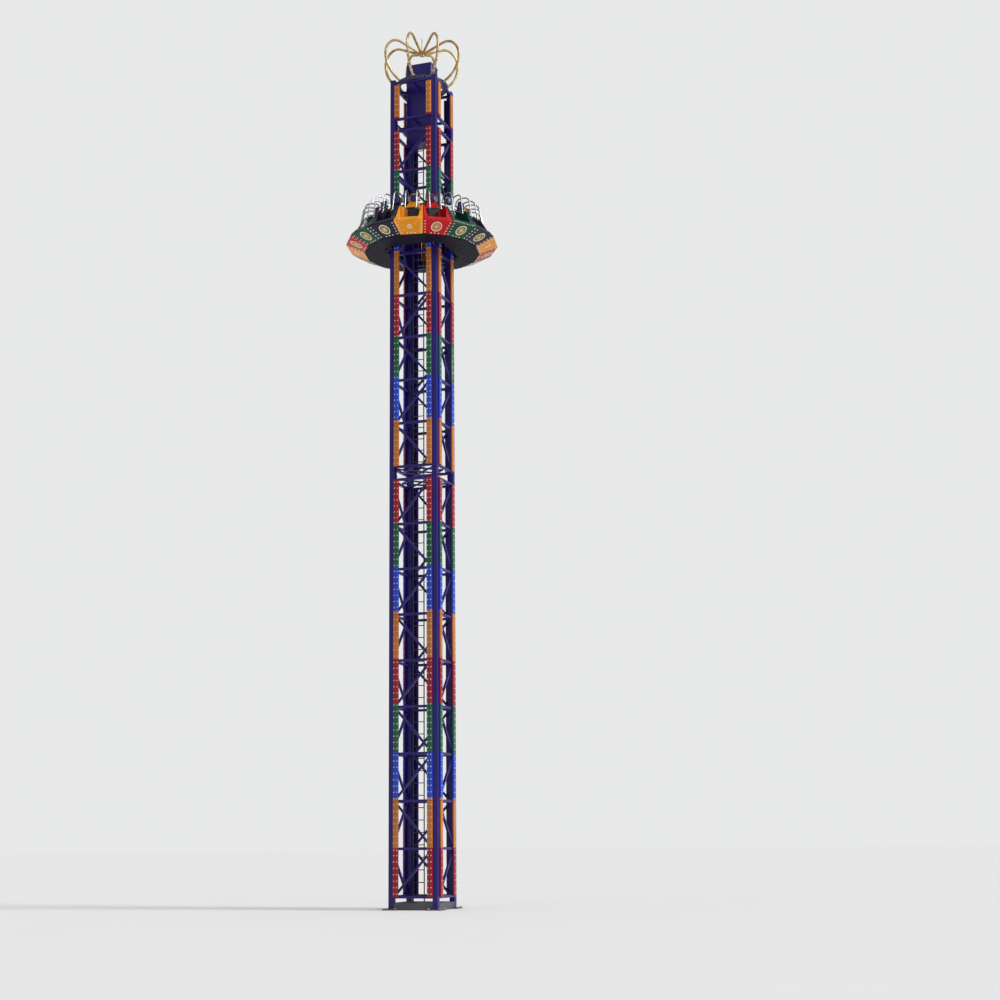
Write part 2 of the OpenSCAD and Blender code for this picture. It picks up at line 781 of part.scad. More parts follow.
module seat_cushions() {
    color("black") for (i = [0 : seats - 1]) at_seat(i)
        translate([0, seat_pad_y, pan_t + seat_clear])
            linear_extrude(height = cushion_t) pad_outline(seat_pad_w, seat_pad_l, pad_cut);
}

// A pad z above the pan's underside, against the leaning front of a seat back.
module against_back(z, w, h, cut) {
    translate([0, back_r, 0]) rotate([back_lean, 0, 0])
        translate([0, back_t / 2 + cushion_t + seat_clear, z]) rotate([90, 0, 0])
            linear_extrude(height = cushion_t) pad_outline(w, h, cut);
}

module back_cushions() {
    color("black") for (i = [0 : seats - 1]) at_seat(i)
        against_back(pan_t + cushion_t + cushion_space, back_pad_w, back_pad_h, pad_cut);
}

module headrest_pads() {
    color("navy") for (i = [0 : seats - 1]) at_seat(i)
        against_back(
            back_foot + back_h - head_pad_edge - head_pad_h, head_pad_w, head_pad_h, head_pad_cut
        );
}

// One arm of a restraint, drawn from its hinge: up, over the shoulder and down.
module restraint_arm() {
    tube(concat(
        [[0, 0, 90]],
        bend([shoulder_r, arm_rise - shoulder_r], shoulder_r, 180, 90, 6),
        bend(chest_c, chest_r, 90, 90 - arm_turn, 5),
        [[arm_end[0], arm_end[1], -arm_turn]]
    ), arm_d, arm_sides);
}

module restraint(i) {
    color("dimgray") at_seat(i) translate([0, hinge_r, hinge_z]) union() {
        rotate([0, 90, 0]) cylinder(d = shaft_d, h = 2 * arm_x, center = true);
        for (x = [-arm_x, arm_x]) translate([x, 0, 0]) {
            rotate([0, 90, 0]) cylinder(d = boss_d, h = boss_w, center = true);
            restraint_arm();
        }
        translate([0, arm_end[0], arm_end[1]]) rotate([0, 90, 0])
            cylinder(d = bar_d, h = 2 * arm_x + boss_d, center = true);
    }
}

base_frame();
columns(foot_t, joint1_z + joint_gap / 2);  // columns_lower
columns(joint1_z + joint_gap / 2, joint2_z + joint_gap / 2);  // columns_middle
columns(joint2_z + joint_gap / 2, tower_h);  // columns_top
splice_plates();
bracing_lower(0);  // bracing_lower_front
bracing_lower(1);  // bracing_lower_right
bracing_lower(2);  // bracing_lower_back
bracing_lower(3);  // bracing_lower_left
bracing_middle(0);  // bracing_middle_front
bracing_middle(1);  // bracing_middle_right
bracing_middle(2);  // bracing_middle_back
bracing_middle(3);  // bracing_middle_left
bracing_top();
lamp_boards(0);  // lamp_boards_front
lamp_boards(1);  // lamp_boards_right
lamp_boards(2);  // lamp_boards_back
lamp_boards(3);  // lamp_boards_left
ladder();
sheave_housing();
head_ring();
crown_arcs();
crown_hub();
gondola_floor();
gondola_ribs();
carriage();
guide_rollers();
hinge_ring();
top_deck();
apron(0, "orange");  // apron_yellow
apron(1, "crimson");  // apron_red
apron(2, "darkgreen");  // apron_green
apron(3, "midnightblue");  // apron_indigo
seat_group(0, "orange");  // seats_yellow
seat_group(1, "crimson");  // seats_red
seat_group(2, "darkgreen");  // seats_green
seat_group(3, "midnightblue");  // seats_indigo
seat_cushions();
back_cushions();
headrest_pads();
restraint(0);  // restraint_01
restraint(1);  // restraint_02
restraint(2);  // restraint_03
restraint(3);  // restraint_04
restraint(4);  // restraint_05
restraint(5);  // restraint_06
restraint(6);  // restraint_07
restraint(7);  // restraint_08
restraint(8);  // restraint_09
restraint(9);  // restraint_10
restraint(10);  // restraint_11
restraint(11);  // restraint_12
restraint(12);  // restraint_13
restraint(13);  // restraint_14
restraint(14);  // restraint_15
restraint(15);  // restraint_16
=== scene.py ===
"""Looks of the drop tower ride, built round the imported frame, in metres."""
import json
import math

import bmesh
import bpy
from mathutils import Matrix, Vector
from mathutils.bvhtree import BVHTree

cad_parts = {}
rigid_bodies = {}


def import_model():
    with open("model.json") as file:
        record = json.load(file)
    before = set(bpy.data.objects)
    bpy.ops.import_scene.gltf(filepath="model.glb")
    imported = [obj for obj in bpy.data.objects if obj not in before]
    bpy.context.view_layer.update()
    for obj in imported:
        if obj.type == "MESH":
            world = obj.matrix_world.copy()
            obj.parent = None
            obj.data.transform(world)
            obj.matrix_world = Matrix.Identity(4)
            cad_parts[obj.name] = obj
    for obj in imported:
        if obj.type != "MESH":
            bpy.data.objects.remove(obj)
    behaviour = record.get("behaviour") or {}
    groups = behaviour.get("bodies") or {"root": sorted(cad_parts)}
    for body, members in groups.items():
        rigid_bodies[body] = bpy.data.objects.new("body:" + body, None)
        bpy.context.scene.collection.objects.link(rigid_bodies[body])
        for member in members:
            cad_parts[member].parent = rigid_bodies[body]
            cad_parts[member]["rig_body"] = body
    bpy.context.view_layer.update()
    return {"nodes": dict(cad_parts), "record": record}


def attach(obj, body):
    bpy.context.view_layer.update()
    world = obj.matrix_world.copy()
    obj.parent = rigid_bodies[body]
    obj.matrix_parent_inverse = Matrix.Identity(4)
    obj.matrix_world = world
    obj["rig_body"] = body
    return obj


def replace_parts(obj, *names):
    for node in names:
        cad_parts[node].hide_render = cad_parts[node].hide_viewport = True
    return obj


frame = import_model()
NODES = frame["nodes"]

# Sizes of the tower
HALF = 0.6
COLUMN = 0.13
FOOT_GAP = 0.29
SECTIONS = ((FOOT_GAP, 9, 1.069), (10.221, 8, 1.052), (18.947, 1, 0.88))
TOWER_H = 19.987
BOARD_W = 0.13
BOARD_T = 0.04
BOARD_GAP = 0.006
BOARD_X = HALF - 0.12 - BOARD_W / 2
LAMP_X = 0.038
LAMP_PITCH = 0.1405
JOINTS = (9.911, 18.637)
JOINT_GAP = 0.31
FOOT_T = 0.03
ANCHOR_PITCH = 0.27
FACES = ("front", "right", "back", "left")

# Sizes of the head
RING_R = math.hypot(0.47, 0.47) - 0.075
RING_W = 0.11
RING_H = 0.09
RING_Z = TOWER_H - 0.06
HOUSING_W = 0.68
HOUSING_L = 0.44
HOUSING_TOP = TOWER_H + 0.52
HOUSING_LOW = TOWER_H - 1.55
CROWN_TUBES = 8
CROWN_TUBE_R = 0.031
CROWN_WIDE = (0.98, 0.73)
CROWN_PEAK = (0.665, 1.11)
CROWN_BEND = 0.26
CROWN_HUB = (0.04, 0.87)
CROWN_FOOT = 0.06

# Sizes of the gondola, with heights measured from its rim
SEATS = 16
STEP = math.radians(360 / SEATS)
HALF_STEP = STEP / 2
RIM_Z = 15.83
RIM_R = 1.85
FLOOR_R = 1.4
APRON_H = 0.19
PAN_T = 0.04
HINGE_R = 1.05834
HINGE_Z = 0.77
BACK_R = HINGE_R + 0.132
BACK_T = 0.05
BACK_LEAN = math.radians(6)
BACK_H = 0.93
HEADREST_X = 0.106
SHOULDER_X = 0.19
PAN_FRONT = RIM_R * math.cos(HALF_STEP) - 0.005
PAN_BACK = BACK_R - 0.03
LIP_H = 0.105
LIP_LEAN = 0.06
LIP_T = 0.026
WING_T = 0.024
WING_H = 0.52
WING_RISE = 0.04
WING_DROP_R = 1.42
SEAT_GAP = 0.006
PAD_T = 0.05
PAD_REST = 0.0003
SEAT_PAD = (0.4, BACK_R + BACK_T + PAD_T + 0.04, PAN_FRONT - 0.09)
BACK_PAD = (0.3, 0.44, PAN_T + PAD_T + 0.04)
HEAD_PAD = (0.18, 0.2, 0.7)
ROLLER_X = HALF - 0.045
ROLLER_Y = HALF + 0.0703
ROLLER_Z = (0.03 - APRON_H, 0.67)
COLOURS = ("yellow", "red", "green", "indigo")

# Sizes of a restraint, drawn from its hinge
ARM_X = 0.135
ARM_R = 0.016
ARM_RISE = 0.16
SHOULDER_R = 0.12
ARM_LEVEL = 0.11
CHEST_R = 0.15
ARM_TURN = math.radians(80)
ARM_DROP = 0.4
BAR_R = 0.021
SHAFT_R = 0.015

# Materials

def srgb(red, green, blue):
    """The linear colour of a screen colour from 0 to 255."""
    def linear(value):
        value /= 255
        return value / 12.92 if value <= 0.04045 else ((value + 0.055) / 1.055) ** 2.4
    return (linear(red), linear(green), linear(blue), 1.0)


def shade(colour, factor):
    return tuple(min(1.0, c * factor) for c in colour[:3]) + (1.0,)


class Finish:
    """A node material, with short calls for the nodes that its finishes share."""

    def __init__(self, name, metallic=0.0, coat=0.0, coat_roughness=0.12):
        self.material = bpy.data.materials.new(name)
        self.material.use_nodes = True
        self.tree = self.material.node_tree
        self.shader = self.tree.nodes["Principled BSDF"]
        self.shader.inputs["Metallic"].default_value = metallic
        self.shader.inputs["Coat Weight"].default_value = coat
        self.shader.inputs["Coat Roughness"].default_value = coat_roughness
        self.place = self.node("ShaderNodeTexCoord").outputs["Object"]

    def node(self, kind, inputs=None, **settings):
        made = self.tree.nodes.new(kind)
        for key, value in settings.items():
            setattr(made, key, value)
        for key, value in (inputs or {}).items():
            if isinstance(value, bpy.types.NodeSocket):
                self.tree.links.new(value, made.inputs[key])
            else:
                made.inputs[key].default_value = value
        return made

    def noise(self, scale, detail=4.0, stretch=(1, 1, 1), rough=0.55):
        spot = self.node("ShaderNodeMapping", {"Vector": self.place, "Scale": stretch})
        made = self.node("ShaderNodeTexNoise", {
            "Vector": spot.outputs[0], "Scale": scale, "Detail": detail, "Roughness": rough})
        return made.outputs["Fac"]

    def cells(self, scale, feature="F1"):
        made = self.node("ShaderNodeTexVoronoi", {"Vector": self.place, "Scale": scale}, feature=feature)
        return made.outputs["Distance"]

    def band(self, source, low, high, to_low=0.0, to_high=1.0):
        """The source stretched from low..high to to_low..to_high, and held there outside."""
        made = self.node("ShaderNodeMapRange", {
            "Value": source, "From Min": low, "From Max": high, "To Min": to_low, "To Max": to_high})
        return made.outputs["Result"]

    def blend(self, factor, first, second, how="MIX"):
        made = self.node("ShaderNodeMix", data_type="RGBA", blend_type=how)
        for index, value in ((0, factor), (6, first), (7, second)):
            if isinstance(value, bpy.types.NodeSocket):
                self.tree.links.new(value, made.inputs[index])
            else:
                made.inputs[index].default_value = value
        return made.outputs[2]

    def sum(self, first, second, how="ADD"):
        made = self.node("ShaderNodeMath", {0: first, 1: second}, operation=how)
        return made.outputs[0]

    def colour(self, source):
        self.tree.links.new(source, self.shader.inputs["Base Color"])

    def roughness(self, source):
        self.tree.links.new(source, self.shader.inputs["Roughness"])

    def relief(self, *layers):
        """Bumps on each other: each layer is a height source and its depth in metres."""
        below = None
        for source, depth in layers:
            made = self.node("ShaderNodeBump", {"Height": source, "Distance": depth, "Strength": 1.0})
            if below:
                self.tree.links.new(below, made.inputs["Normal"])
            below = made.outputs["Normal"]
        self.tree.links.new(below, self.shader.inputs["Normal"])


def painted(name, colour, primer=(0.3, 0.3, 0.32, 1), rough=0.36, coat=0.25, base=None, wear=0.5):
    """Sprayed steel: cloudy fading, rain streaks, orange peel and a few chips."""
    f = Finish(name, coat=coat, coat_roughness=0.2)
    f.shader.inputs["Specular IOR Level"].default_value = 0.3
    colour = base(f) if base else colour
    clouds = f.band(f.noise(1.3, 5), 0.35, 0.65)
    faded = f.blend(clouds, f.blend(1.0, colour, (0.84, 0.84, 0.86, 1), "MULTIPLY"),
                    f.blend(1.0, colour, (1.1, 1.1, 1.08, 1), "MULTIPLY"))
    streaks = f.band(f.noise(14, 3, (1, 1, 0.045)), 0.56, 0.72, 0.0, 0.3)
    stained = f.blend(streaks, faded, f.blend(1.0, colour, (0.5, 0.48, 0.5, 1), "MULTIPLY"))
    chips = f.band(f.sum(f.noise(55, 6, rough=0.7), f.noise(3, 2), "MULTIPLY"), 0.46, 0.47, 0.0, wear)
    f.colour(f.blend(chips, stained, primer))
    f.roughness(f.band(f.noise(7, 4), 0.3, 0.7, rough - 0.08, rough + 0.12))
    f.relief((f.noise(420, 2), 0.0003), (f.noise(30, 3), 0.0006))
    return f.material


def board_colours(f):
    """One flat colour a lamp board, in turn from the top of each section; faces inside the tower's outline take the
    tower's indigo, as dark board backs and as painted shade.
    """
    paints = (srgb(158, 18, 34), srgb(14, 92, 62), srgb(24, 70, 196), srgb(196, 112, 34))
    height = f.node("ShaderNodeSeparateXYZ", {"Vector": f.place}).outputs["Z"]
    top = 22.0
    ramp = f.node("ShaderNodeValToRGB", {"Fac": f.band(height, 0.0, top)})
    ramp.color_ramp.interpolation = "CONSTANT"
    stops = []
    for number, (z, bays, bay_h) in enumerate(SECTIONS):
        first = 3 if number == 2 else 0
        for bay in range(bays):
            stops.append(((z + bay * bay_h) / top, paints[(first + bays - 1 - bay) % 4]))
    elements = ramp.color_ramp.elements
    elements[0].position, elements[0].color = stops[0]
    elements[1].position, elements[1].color = stops[1]
    for position, paint in stops[2:]:
        elements.new(position).color = paint
    side = f.node("ShaderNodeSeparateXYZ", {"Vector": f.place})
    reach = [f.node("ShaderNodeMath", {0: side.outputs[axis]}, operation="ABSOLUTE").outputs[0] for axis in "XY"]
    # Faces further in than the tower's sides are painted indigo: dark board backs, and painted shade inside the
    # tower.
    out = f.band(f.sum(*reach, "MAXIMUM"), HALF + 0.003, HALF + 0.005)
    return f.blend(out, INDIGO, ramp.outputs["Color"])


def moulded(name, colour, rough=0.24, coat=0.12):
    """Gel-coated glass fibre: gloss over slight waves, faint mottling and hairline scratches."""
    f = Finish(name, coat=coat, coat_roughness=0.12)
    f.shader.inputs["Specular IOR Level"].default_value = 0.25
    mottle = f.band(f.noise(9, 6), 0.35, 0.7)
    body = f.blend(mottle, shade(colour, 0.86), shade(colour, 1.1))
    scuffs = f.band(f.noise(60, 3, (0.08, 1, 1)), 0.66, 0.74, 0.0, 0.35)
    f.colour(f.blend(scuffs, body, shade(colour, 1.5)))
    f.roughness(f.band(f.noise(16, 5), 0.3, 0.7, rough - 0.06, rough + 0.16))
    f.relief((f.noise(5, 2), 0.004), (f.noise(260, 2), 0.0002))
    return f.material


def vinyl(name, colour, rough=0.46):
    """Grained upholstery vinyl with creases and paler rubbed places."""
    f = Finish(name)
    rubbed = f.band(f.noise(11, 5), 0.55, 0.75, 0.0, 0.5)
    f.colour(f.blend(rubbed, colour, shade(colour, 2.2)))
    f.roughness(f.band(f.noise(24, 4), 0.3, 0.7, rough - 0.1, rough + 0.14))
    f.relief((f.noise(18, 4), 0.003), (f.cells(520, "DISTANCE_TO_EDGE"), 0.0008))
    return f.material


def foam(name, colour):
    """Dipped foam: matt skin with fine pores and soft dents."""
    f = Finish(name)
    f.colour(f.blend(f.band(f.noise(30, 5), 0.4, 0.7), colour, shade(colour, 1.8)))
    f.roughness(f.band(f.noise(40, 3), 0.3, 0.7, 0.6, 0.8))
    f.relief((f.noise(25, 3), 0.002), (f.cells(700), 0.0006))
    return f.material


def bright_metal(name, colour, rough=0.16, streak=(1, 1, 0.1)):
    """Plated or polished metal with a fine grain and finger marks."""
    f = Finish(name, metallic=1.0)
    f.colour(f.blend(f.band(f.noise(12, 4), 0.35, 0.7), shade(colour, 0.86), shade(colour, 1.08)))
    marks = f.band(f.noise(18, 5), 0.5, 0.75, 0.0, 0.16)
    f.roughness(f.sum(marks, f.band(f.noise(240, 2, streak), 0.3, 0.7, rough - 0.05, rough + 0.06)))
    f.relief((f.noise(300, 2, streak), 0.0001),)
    return f.material


def gold_paint(name):
    """Gold lacquer on tube: warm metal that dulls to cream in patches."""
    f = Finish(name, metallic=0.35, coat=0.3, coat_roughness=0.12)
    patches = f.band(f.noise(6, 5), 0.4, 0.7)
    f.colour(f.blend(patches, srgb(158, 124, 60), srgb(216, 188, 122)))
    f.roughness(f.band(f.noise(20, 4), 0.3, 0.7, 0.2, 0.4))
    f.relief((f.noise(200, 2), 0.0002),)
    return f.material


def bulb_cap(name, colour=(0.93, 0.92, 0.86, 1)):
    """A milky lamp cap with fine prism ribs."""
    f = Finish(name, coat=0.8, coat_roughness=0.05)
    f.shader.inputs["Subsurface Weight"].default_value = 0.15
    f.shader.inputs["Subsurface Radius"].default_value = (0.01, 0.01, 0.01)
    f.colour(f.blend(f.band(f.noise(90, 2), 0.4, 0.6), shade(colour, 0.9), colour))
    f.roughness(f.band(f.noise(60, 2), 0.3, 0.7, 0.15, 0.3))
    f.relief((f.cells(260), 0.0008),)
    return f.material


def rubber(name):
    """Tyre rubber with dusty patches."""
    f = Finish(name)
    f.colour(f.blend(f.band(f.noise(20, 4), 0.45, 0.7), (0.012, 0.012, 0.013, 1), (0.05, 0.048, 0.045, 1)))
    f.roughness(f.band(f.noise(50, 3), 0.3, 0.7, 0.65, 0.85))
    f.relief((f.noise(160, 3), 0.0005),)
    return f.material


def tread_plate(name, colour):
    """Dark deck steel with raised lozenges and worn high spots."""
    f = Finish(name)
    f.shader.inputs["Specular IOR Level"].default_value = 0.15
    turned = f.node("ShaderNodeMapping", {"Vector": f.place, "Rotation": (0, 0, math.radians(45)),
                                          "Scale": (1, 0.4, 1)})
    lozenge = f.node("ShaderNodeTexVoronoi", {"Vector": turned.outputs[0], "Scale": 45, "Randomness": 0.0})
    raised = f.band(lozenge.outputs["Distance"], 0.2, 0.32, 1.0, 0.0)
    worn = f.sum(raised, f.band(f.noise(9, 5), 0.45, 0.7), "MULTIPLY")
    side = f.node("ShaderNodeSeparateXYZ", {"Vector": f.place})
    turn = f.sum(f.sum(side.outputs["X"], side.outputs["Y"], "ARCTAN2"), SEATS / (2 * math.pi), "MULTIPLY")
    seam = f.band(f.sum(turn, 0.5, "PINGPONG"), 0.004, 0.009)
    f.colour(f.blend(f.sum(worn, 0.5, "MULTIPLY"), colour, shade(colour, 2.2)))
    f.roughness(f.band(f.noise(14, 4), 0.3, 0.7, 0.55, 0.75))
    f.relief((raised, 0.0015), (seam, 0.004), (f.noise(200, 2), 0.0002))
    return f.material


INDIGO = srgb(36, 19, 108)
PAINT = {
    "yellow": srgb(238, 152, 30), "red": srgb(190, 10, 24),
    "green": srgb(2, 68, 48), "indigo": srgb(16, 11, 46),
}
tower_paint = painted("tower_paint", INDIGO, rough=0.34, coat=0.15)
base_paint = painted("base_paint", srgb(86, 86, 92), rough=0.5, coat=0.0, wear=0.8)
board_paint = painted("board_paint", None, rough=0.36, coat=0.12, base=board_colours, wear=0.3)
ring_paint = painted("ring_paint", srgb(56, 66, 76), rough=0.4)
ladder_steel = painted("ladder_steel", srgb(84, 84, 100), rough=0.42, coat=0.0, wear=0.8)
frame_steel = painted("frame_steel", srgb(24, 22, 44), rough=0.5, coat=0.0)
floor_steel = tread_plate("floor_paint", srgb(18, 15, 34))
crown_gold = gold_paint("crown_gold")
roller_rubber = rubber("roller_rubber")
shell_finish = {c: moulded("shell_%s_plastic" % c, PAINT[c]) for c in COLOURS}
apron_finish = {c: moulded("apron_%s_paint" % c, PAINT[c], 0.3, 0.03) for c in COLOURS}
seat_vinyl = vinyl("cushion_vinyl", srgb(24, 24, 34))
navy_vinyl = vinyl("headrest_vinyl", srgb(18, 24, 92), 0.36)
chrome = bright_metal("restraint_chrome", (0.4, 0.41, 0.44, 1), 0.27)
zinc = bright_metal("bolt_zinc", (0.58, 0.57, 0.55, 1), 0.32)
pad_cord = vinyl("pad_cord", srgb(52, 52, 64), 0.4)
sleeve_foam = foam("restraint_foam", srgb(30, 30, 36))
cap_white = bulb_cap("lamp_cap")
cap_ring = moulded("lamp_ring", srgb(226, 222, 214), 0.3)
lamp_cap = bulb_cap("board_lamp_cap", srgb(206, 200, 188))
lamp_ring = moulded("board_lamp_ring", srgb(150, 146, 140), 0.3)
ivory = moulded("roundel_ivory", srgb(240, 222, 176), 0.3)
old_gold = gold_paint("roundel_gold")

FINISH_OF_SLOT = {
    "tower_paint": tower_paint, "base_paint": base_paint, "board_paint": board_paint,
    "ladder_steel": ladder_steel, "ring_paint": ring_paint, "crown_gold": crown_gold,
    "floor_paint": floor_steel, "frame_steel": frame_steel, "roller_rubber": roller_rubber,
    "cushion_vinyl": seat_vinyl, "headrest_vinyl": navy_vinyl, "restraint_tube": chrome,
}
for colour in COLOURS:
    FINISH_OF_SLOT["apron_%s_paint" % colour] = apron_finish[colour]
    FINISH_OF_SLOT["shell_%s_plastic" % colour] = shell_finish[colour]
for part in frame["record"]["subparts"]:
    mesh = NODES[part["node"]].data
    mesh.materials.clear()
    mesh.materials.append(FINISH_OF_SLOT[part["material_slot"]])


# Places

def face_place(i):
    """Face i of the tower: 0 front, 1 right, 2 back, 3 left."""
    return Matrix.Rotation(math.radians(90 * i), 4, "Z")


def seat_place(i):
    """Seat i, with +Y looking out of the ring and the rim at height 0."""
    return Matrix.Translation((0, 0, RIM_Z)) @ Matrix.Rotation(math.pi + STEP * (i + 0.5), 4, "Z")


# Geometry trees

def new_tree(name, inputs):
    tree = bpy.data.node_groups.new(name, "GeometryNodeTree")
    tree.interface.new_socket("Geometry", in_out="OUTPUT", socket_type="NodeSocketGeometry")
    tree.interface.new_socket("Geometry", in_out="INPUT", socket_type="NodeSocketGeometry")
    kinds = {float: "NodeSocketFloat", int: "NodeSocketInt"}
    for label, value in inputs.items():
        kind = kinds.get(type(value), "NodeSocketMaterial")
        made = tree.interface.new_socket(label, in_out="INPUT", socket_type=kind)
        if type(value) in kinds:
            made.default_value = value
    tree.nodes.new("NodeGroupInput")
    tree.nodes.new("NodeGroupOutput")
    return tree


def put(tree, kind, inputs=None, **settings):
    """A node in a tree with its inputs linked or set."""
    made = tree.nodes.new(kind)
    for key, value in settings.items():
        setattr(made, key, value)
    for key, value in (inputs or {}).items():
        if isinstance(value, bpy.types.NodeSocket):
            tree.links.new(value, made.inputs[key])
        else:
            made.inputs[key].default_value = value
    return made


def close_tree(tree, geometry):
    whole = put(tree, "GeometryNodeRealizeInstances", {"Geometry": geometry})
    tree.links.new(whole.outputs[0], tree.nodes["Group Output"].inputs[0])


def painted_part(tree, mesh, material):
    return put(tree, "GeometryNodeSetMaterial", {"Geometry": mesh, "Material": material}).outputs[0]


def on_facing_points(tree, points, part):
    """The part on each point, its +Z turned to the point's facing."""
    facing = put(tree, "GeometryNodeInputNamedAttribute", {"Name": "facing"}, data_type="FLOAT_VECTOR")
    turn = put(tree, "FunctionNodeAlignRotationToVector", {"Vector": facing.outputs[0]}, axis="Z")
    return put(tree, "GeometryNodeInstanceOnPoints", {
        "Points": points, "Instance": part, "Rotation": turn.outputs[0]}).outputs[0]


def moved(tree, geometry, z=0.0, squeeze=1.0):
    height = put(tree, "ShaderNodeCombineXYZ", {"Z": z})
    scale = put(tree, "ShaderNodeCombineXYZ", {"X": 1.0, "Y": 1.0, "Z": squeeze})
    return put(tree, "GeometryNodeTransform", {
        "Geometry": geometry, "Translation": height.outputs[0], "Scale": scale.outputs[0]}).outputs[0]


def lamp_tree():
    """A milky cap in a round bezel on each point."""
    tree = new_tree("lamp_rows", {
        "Cap Radius": 0.0135, "Bezel Radius": 0.017, "Bezel Height": 0.006, "Segments": 9, "Dome": 0.8,
        "Cap": None, "Bezel": None})
    given = tree.nodes["Group Input"].outputs
    cap = put(tree, "GeometryNodeMeshUVSphere", {
        "Segments": given["Segments"], "Rings": 5, "Radius": given["Cap Radius"]})
    smooth = put(tree, "GeometryNodeSetShadeSmooth", {"Geometry": cap.outputs[0]})
    bezel = put(tree, "GeometryNodeMeshCylinder", {
        "Vertices": given["Segments"], "Radius": given["Bezel Radius"], "Depth": given["Bezel Height"]})
    both = put(tree, "GeometryNodeJoinGeometry")
    tree.links.new(painted_part(tree, moved(tree, smooth.outputs[0], 0.004, given["Dome"]), given["Cap"]),
                   both.inputs[0])
    tree.links.new(painted_part(tree, bezel.outputs[0], given["Bezel"]), both.inputs[0])
    close_tree(tree, on_facing_points(tree, given["Geometry"], both.outputs[0]))
    return tree


def bolt_tree():
    """A hexagon head on a washer, with the rod's end in its middle, on each point."""
    tree = new_tree("bolt_heads", {"Head": 0.015, "Head Height": 0.012, "Washer": 0.02, "Metal": None})
    given = tree.nodes["Group Input"].outputs
    both = put(tree, "GeometryNodeJoinGeometry")
    head = put(tree, "GeometryNodeMeshCylinder", {
        "Vertices": 6, "Radius": given["Head"], "Depth": given["Head Height"]})
    lifted = put(tree, "ShaderNodeMath", {0: given["Head Height"], 1: 0.5}, operation="MULTIPLY")
    washer = put(tree, "GeometryNodeMeshCylinder", {"Vertices": 14, "Radius": given["Washer"], "Depth": 0.006})
    thin = put(tree, "ShaderNodeMath", {0: given["Head"], 1: 0.47}, operation="MULTIPLY")
    rod = put(tree, "GeometryNodeMeshCylinder", {"Vertices": 10, "Radius": thin.outputs[0], "Depth": 0.01})
    tree.links.new(moved(tree, head.outputs[0], lifted.outputs[0]), both.inputs[0])
    tree.links.new(washer.outputs[0], both.inputs[0])
    tree.links.new(moved(tree, rod.outputs[0], given["Head Height"]), both.inputs[0])
    part = painted_part(tree, both.outputs[0], given["Metal"])
    close_tree(tree, on_facing_points(tree, given["Geometry"], part))
    return tree


def tube_tree():
    """A round tube with closed ends along each edge path."""
    tree = new_tree("swept_tubes", {"Radius": 0.02, "Sides": 16, "Finish": None})
    given = tree.nodes["Group Input"].outputs
    path = put(tree, "GeometryNodeMeshToCurve", {"Mesh": given["Geometry"]})
    ring = put(tree, "GeometryNodeCurvePrimitiveCircle", {
        "Radius": given["Radius"], "Resolution": given["Sides"]})
    swept = put(tree, "GeometryNodeCurveToMesh", {
        "Curve": path.outputs[0], "Profile Curve": ring.outputs[0], "Fill Caps": True})
    smooth = put(tree, "GeometryNodeSetShadeSmooth", {"Geometry": swept.outputs[0]})
    close_tree(tree, painted_part(tree, smooth.outputs[0], given["Finish"]))
    return tree


LAMPS = lamp_tree()
BOLTS = bolt_tree()
TUBES = tube_tree()


def grown(tree, mesh, values):
    """The plain mesh that a tree grows on a mesh."""
    carrier = bpy.data.objects.new(mesh.name, mesh)
    bpy.context.scene.collection.objects.link(carrier)
    made = carrier.modifiers.new(tree.name, "NODES")
    made.node_group = tree
    for item in tree.interface.items_tree:
        if item.item_type == "SOCKET" and item.in_out == "INPUT" and item.name in values:
            made[item.identifier] = values[item.name]
    bpy.context.view_layer.update()
    evaluated = carrier.evaluated_get(bpy.context.evaluated_depsgraph_get())
    result = bpy.data.meshes.new_from_object(evaluated)
    bpy.data.objects.remove(carrier)
    return result


def points_mesh(name, points):
    """A mesh of loose points, each with the direction that it faces: points is [(place, facing)]."""
    mesh = bpy.data.meshes.new(name)
    mesh.from_pydata([p for p, _ in points], [], [])
    facing = mesh.attributes.new("facing", "FLOAT_VECTOR", "POINT")
    facing.data.foreach_set("vector", [c for _, f in points for c in f])
    return mesh


def path_mesh(name, paths, closed=False):
    """A mesh of edge paths, each a list of points."""
    mesh = bpy.data.meshes.new(name)
    verts, edges = [], []
    for path in paths:
        edges += [(len(verts) + i, len(verts) + i + 1) for i in range(len(path) - 1)]
        if closed:
            edges.append((len(verts) + len(path) - 1, len(verts)))
        verts += [tuple(p) for p in path]
    mesh.from_pydata(verts, edges, [])
    return mesh


def piece(name, mesh, body, place=None):
    """A finished piece at the origin, riding its body."""
    if place is not None:
        mesh.transform(place)
    mesh.name = name
    made = bpy.data.objects.new(name, mesh)
    bpy.context.scene.collection.objects.link(made)
    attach(made, body)
    return made


def joined(name, parts):
    """One mesh of several: parts is [(mesh, place)]. Materials keep their order of arrival."""
    materials = []
    bm = bmesh.new()
    for mesh, place in parts:
        added = mesh.copy()
        if place is not None:
            added.transform(place)
        numbers = []
        for material in added.materials:
            if material not in materials:
                materials.append(material)
            numbers.append(materials.index(material))
        for polygon in added.polygons:
            polygon.material_index = numbers[polygon.material_index] if numbers else 0
        bm.from_mesh(added)
        bpy.data.meshes.remove(added)
    whole = bpy.data.meshes.new(name)
    bm.to_mesh(whole)
    bm.free()
    for material in materials:
        whole.materials.append(material)
    return whole


# Lamp boards

def lamp_heights():
    """Heights of the lamp rows: one pitch up a section, with each row kept clear of the board joints."""
    heights = []
    edge = BOARD_GAP / 2 + 0.028
    for low, bays, bay_h in SECTIONS:
        rows = round(bays * bay_h / LAMP_PITCH)
        for row in range(rows):
            up = bays * bay_h * (row + 0.5) / rows
            bay = math.floor(up / bay_h)
            heights.append(low + min(max(up, bay * bay_h + edge), (bay + 1) * bay_h - edge))
    return heights


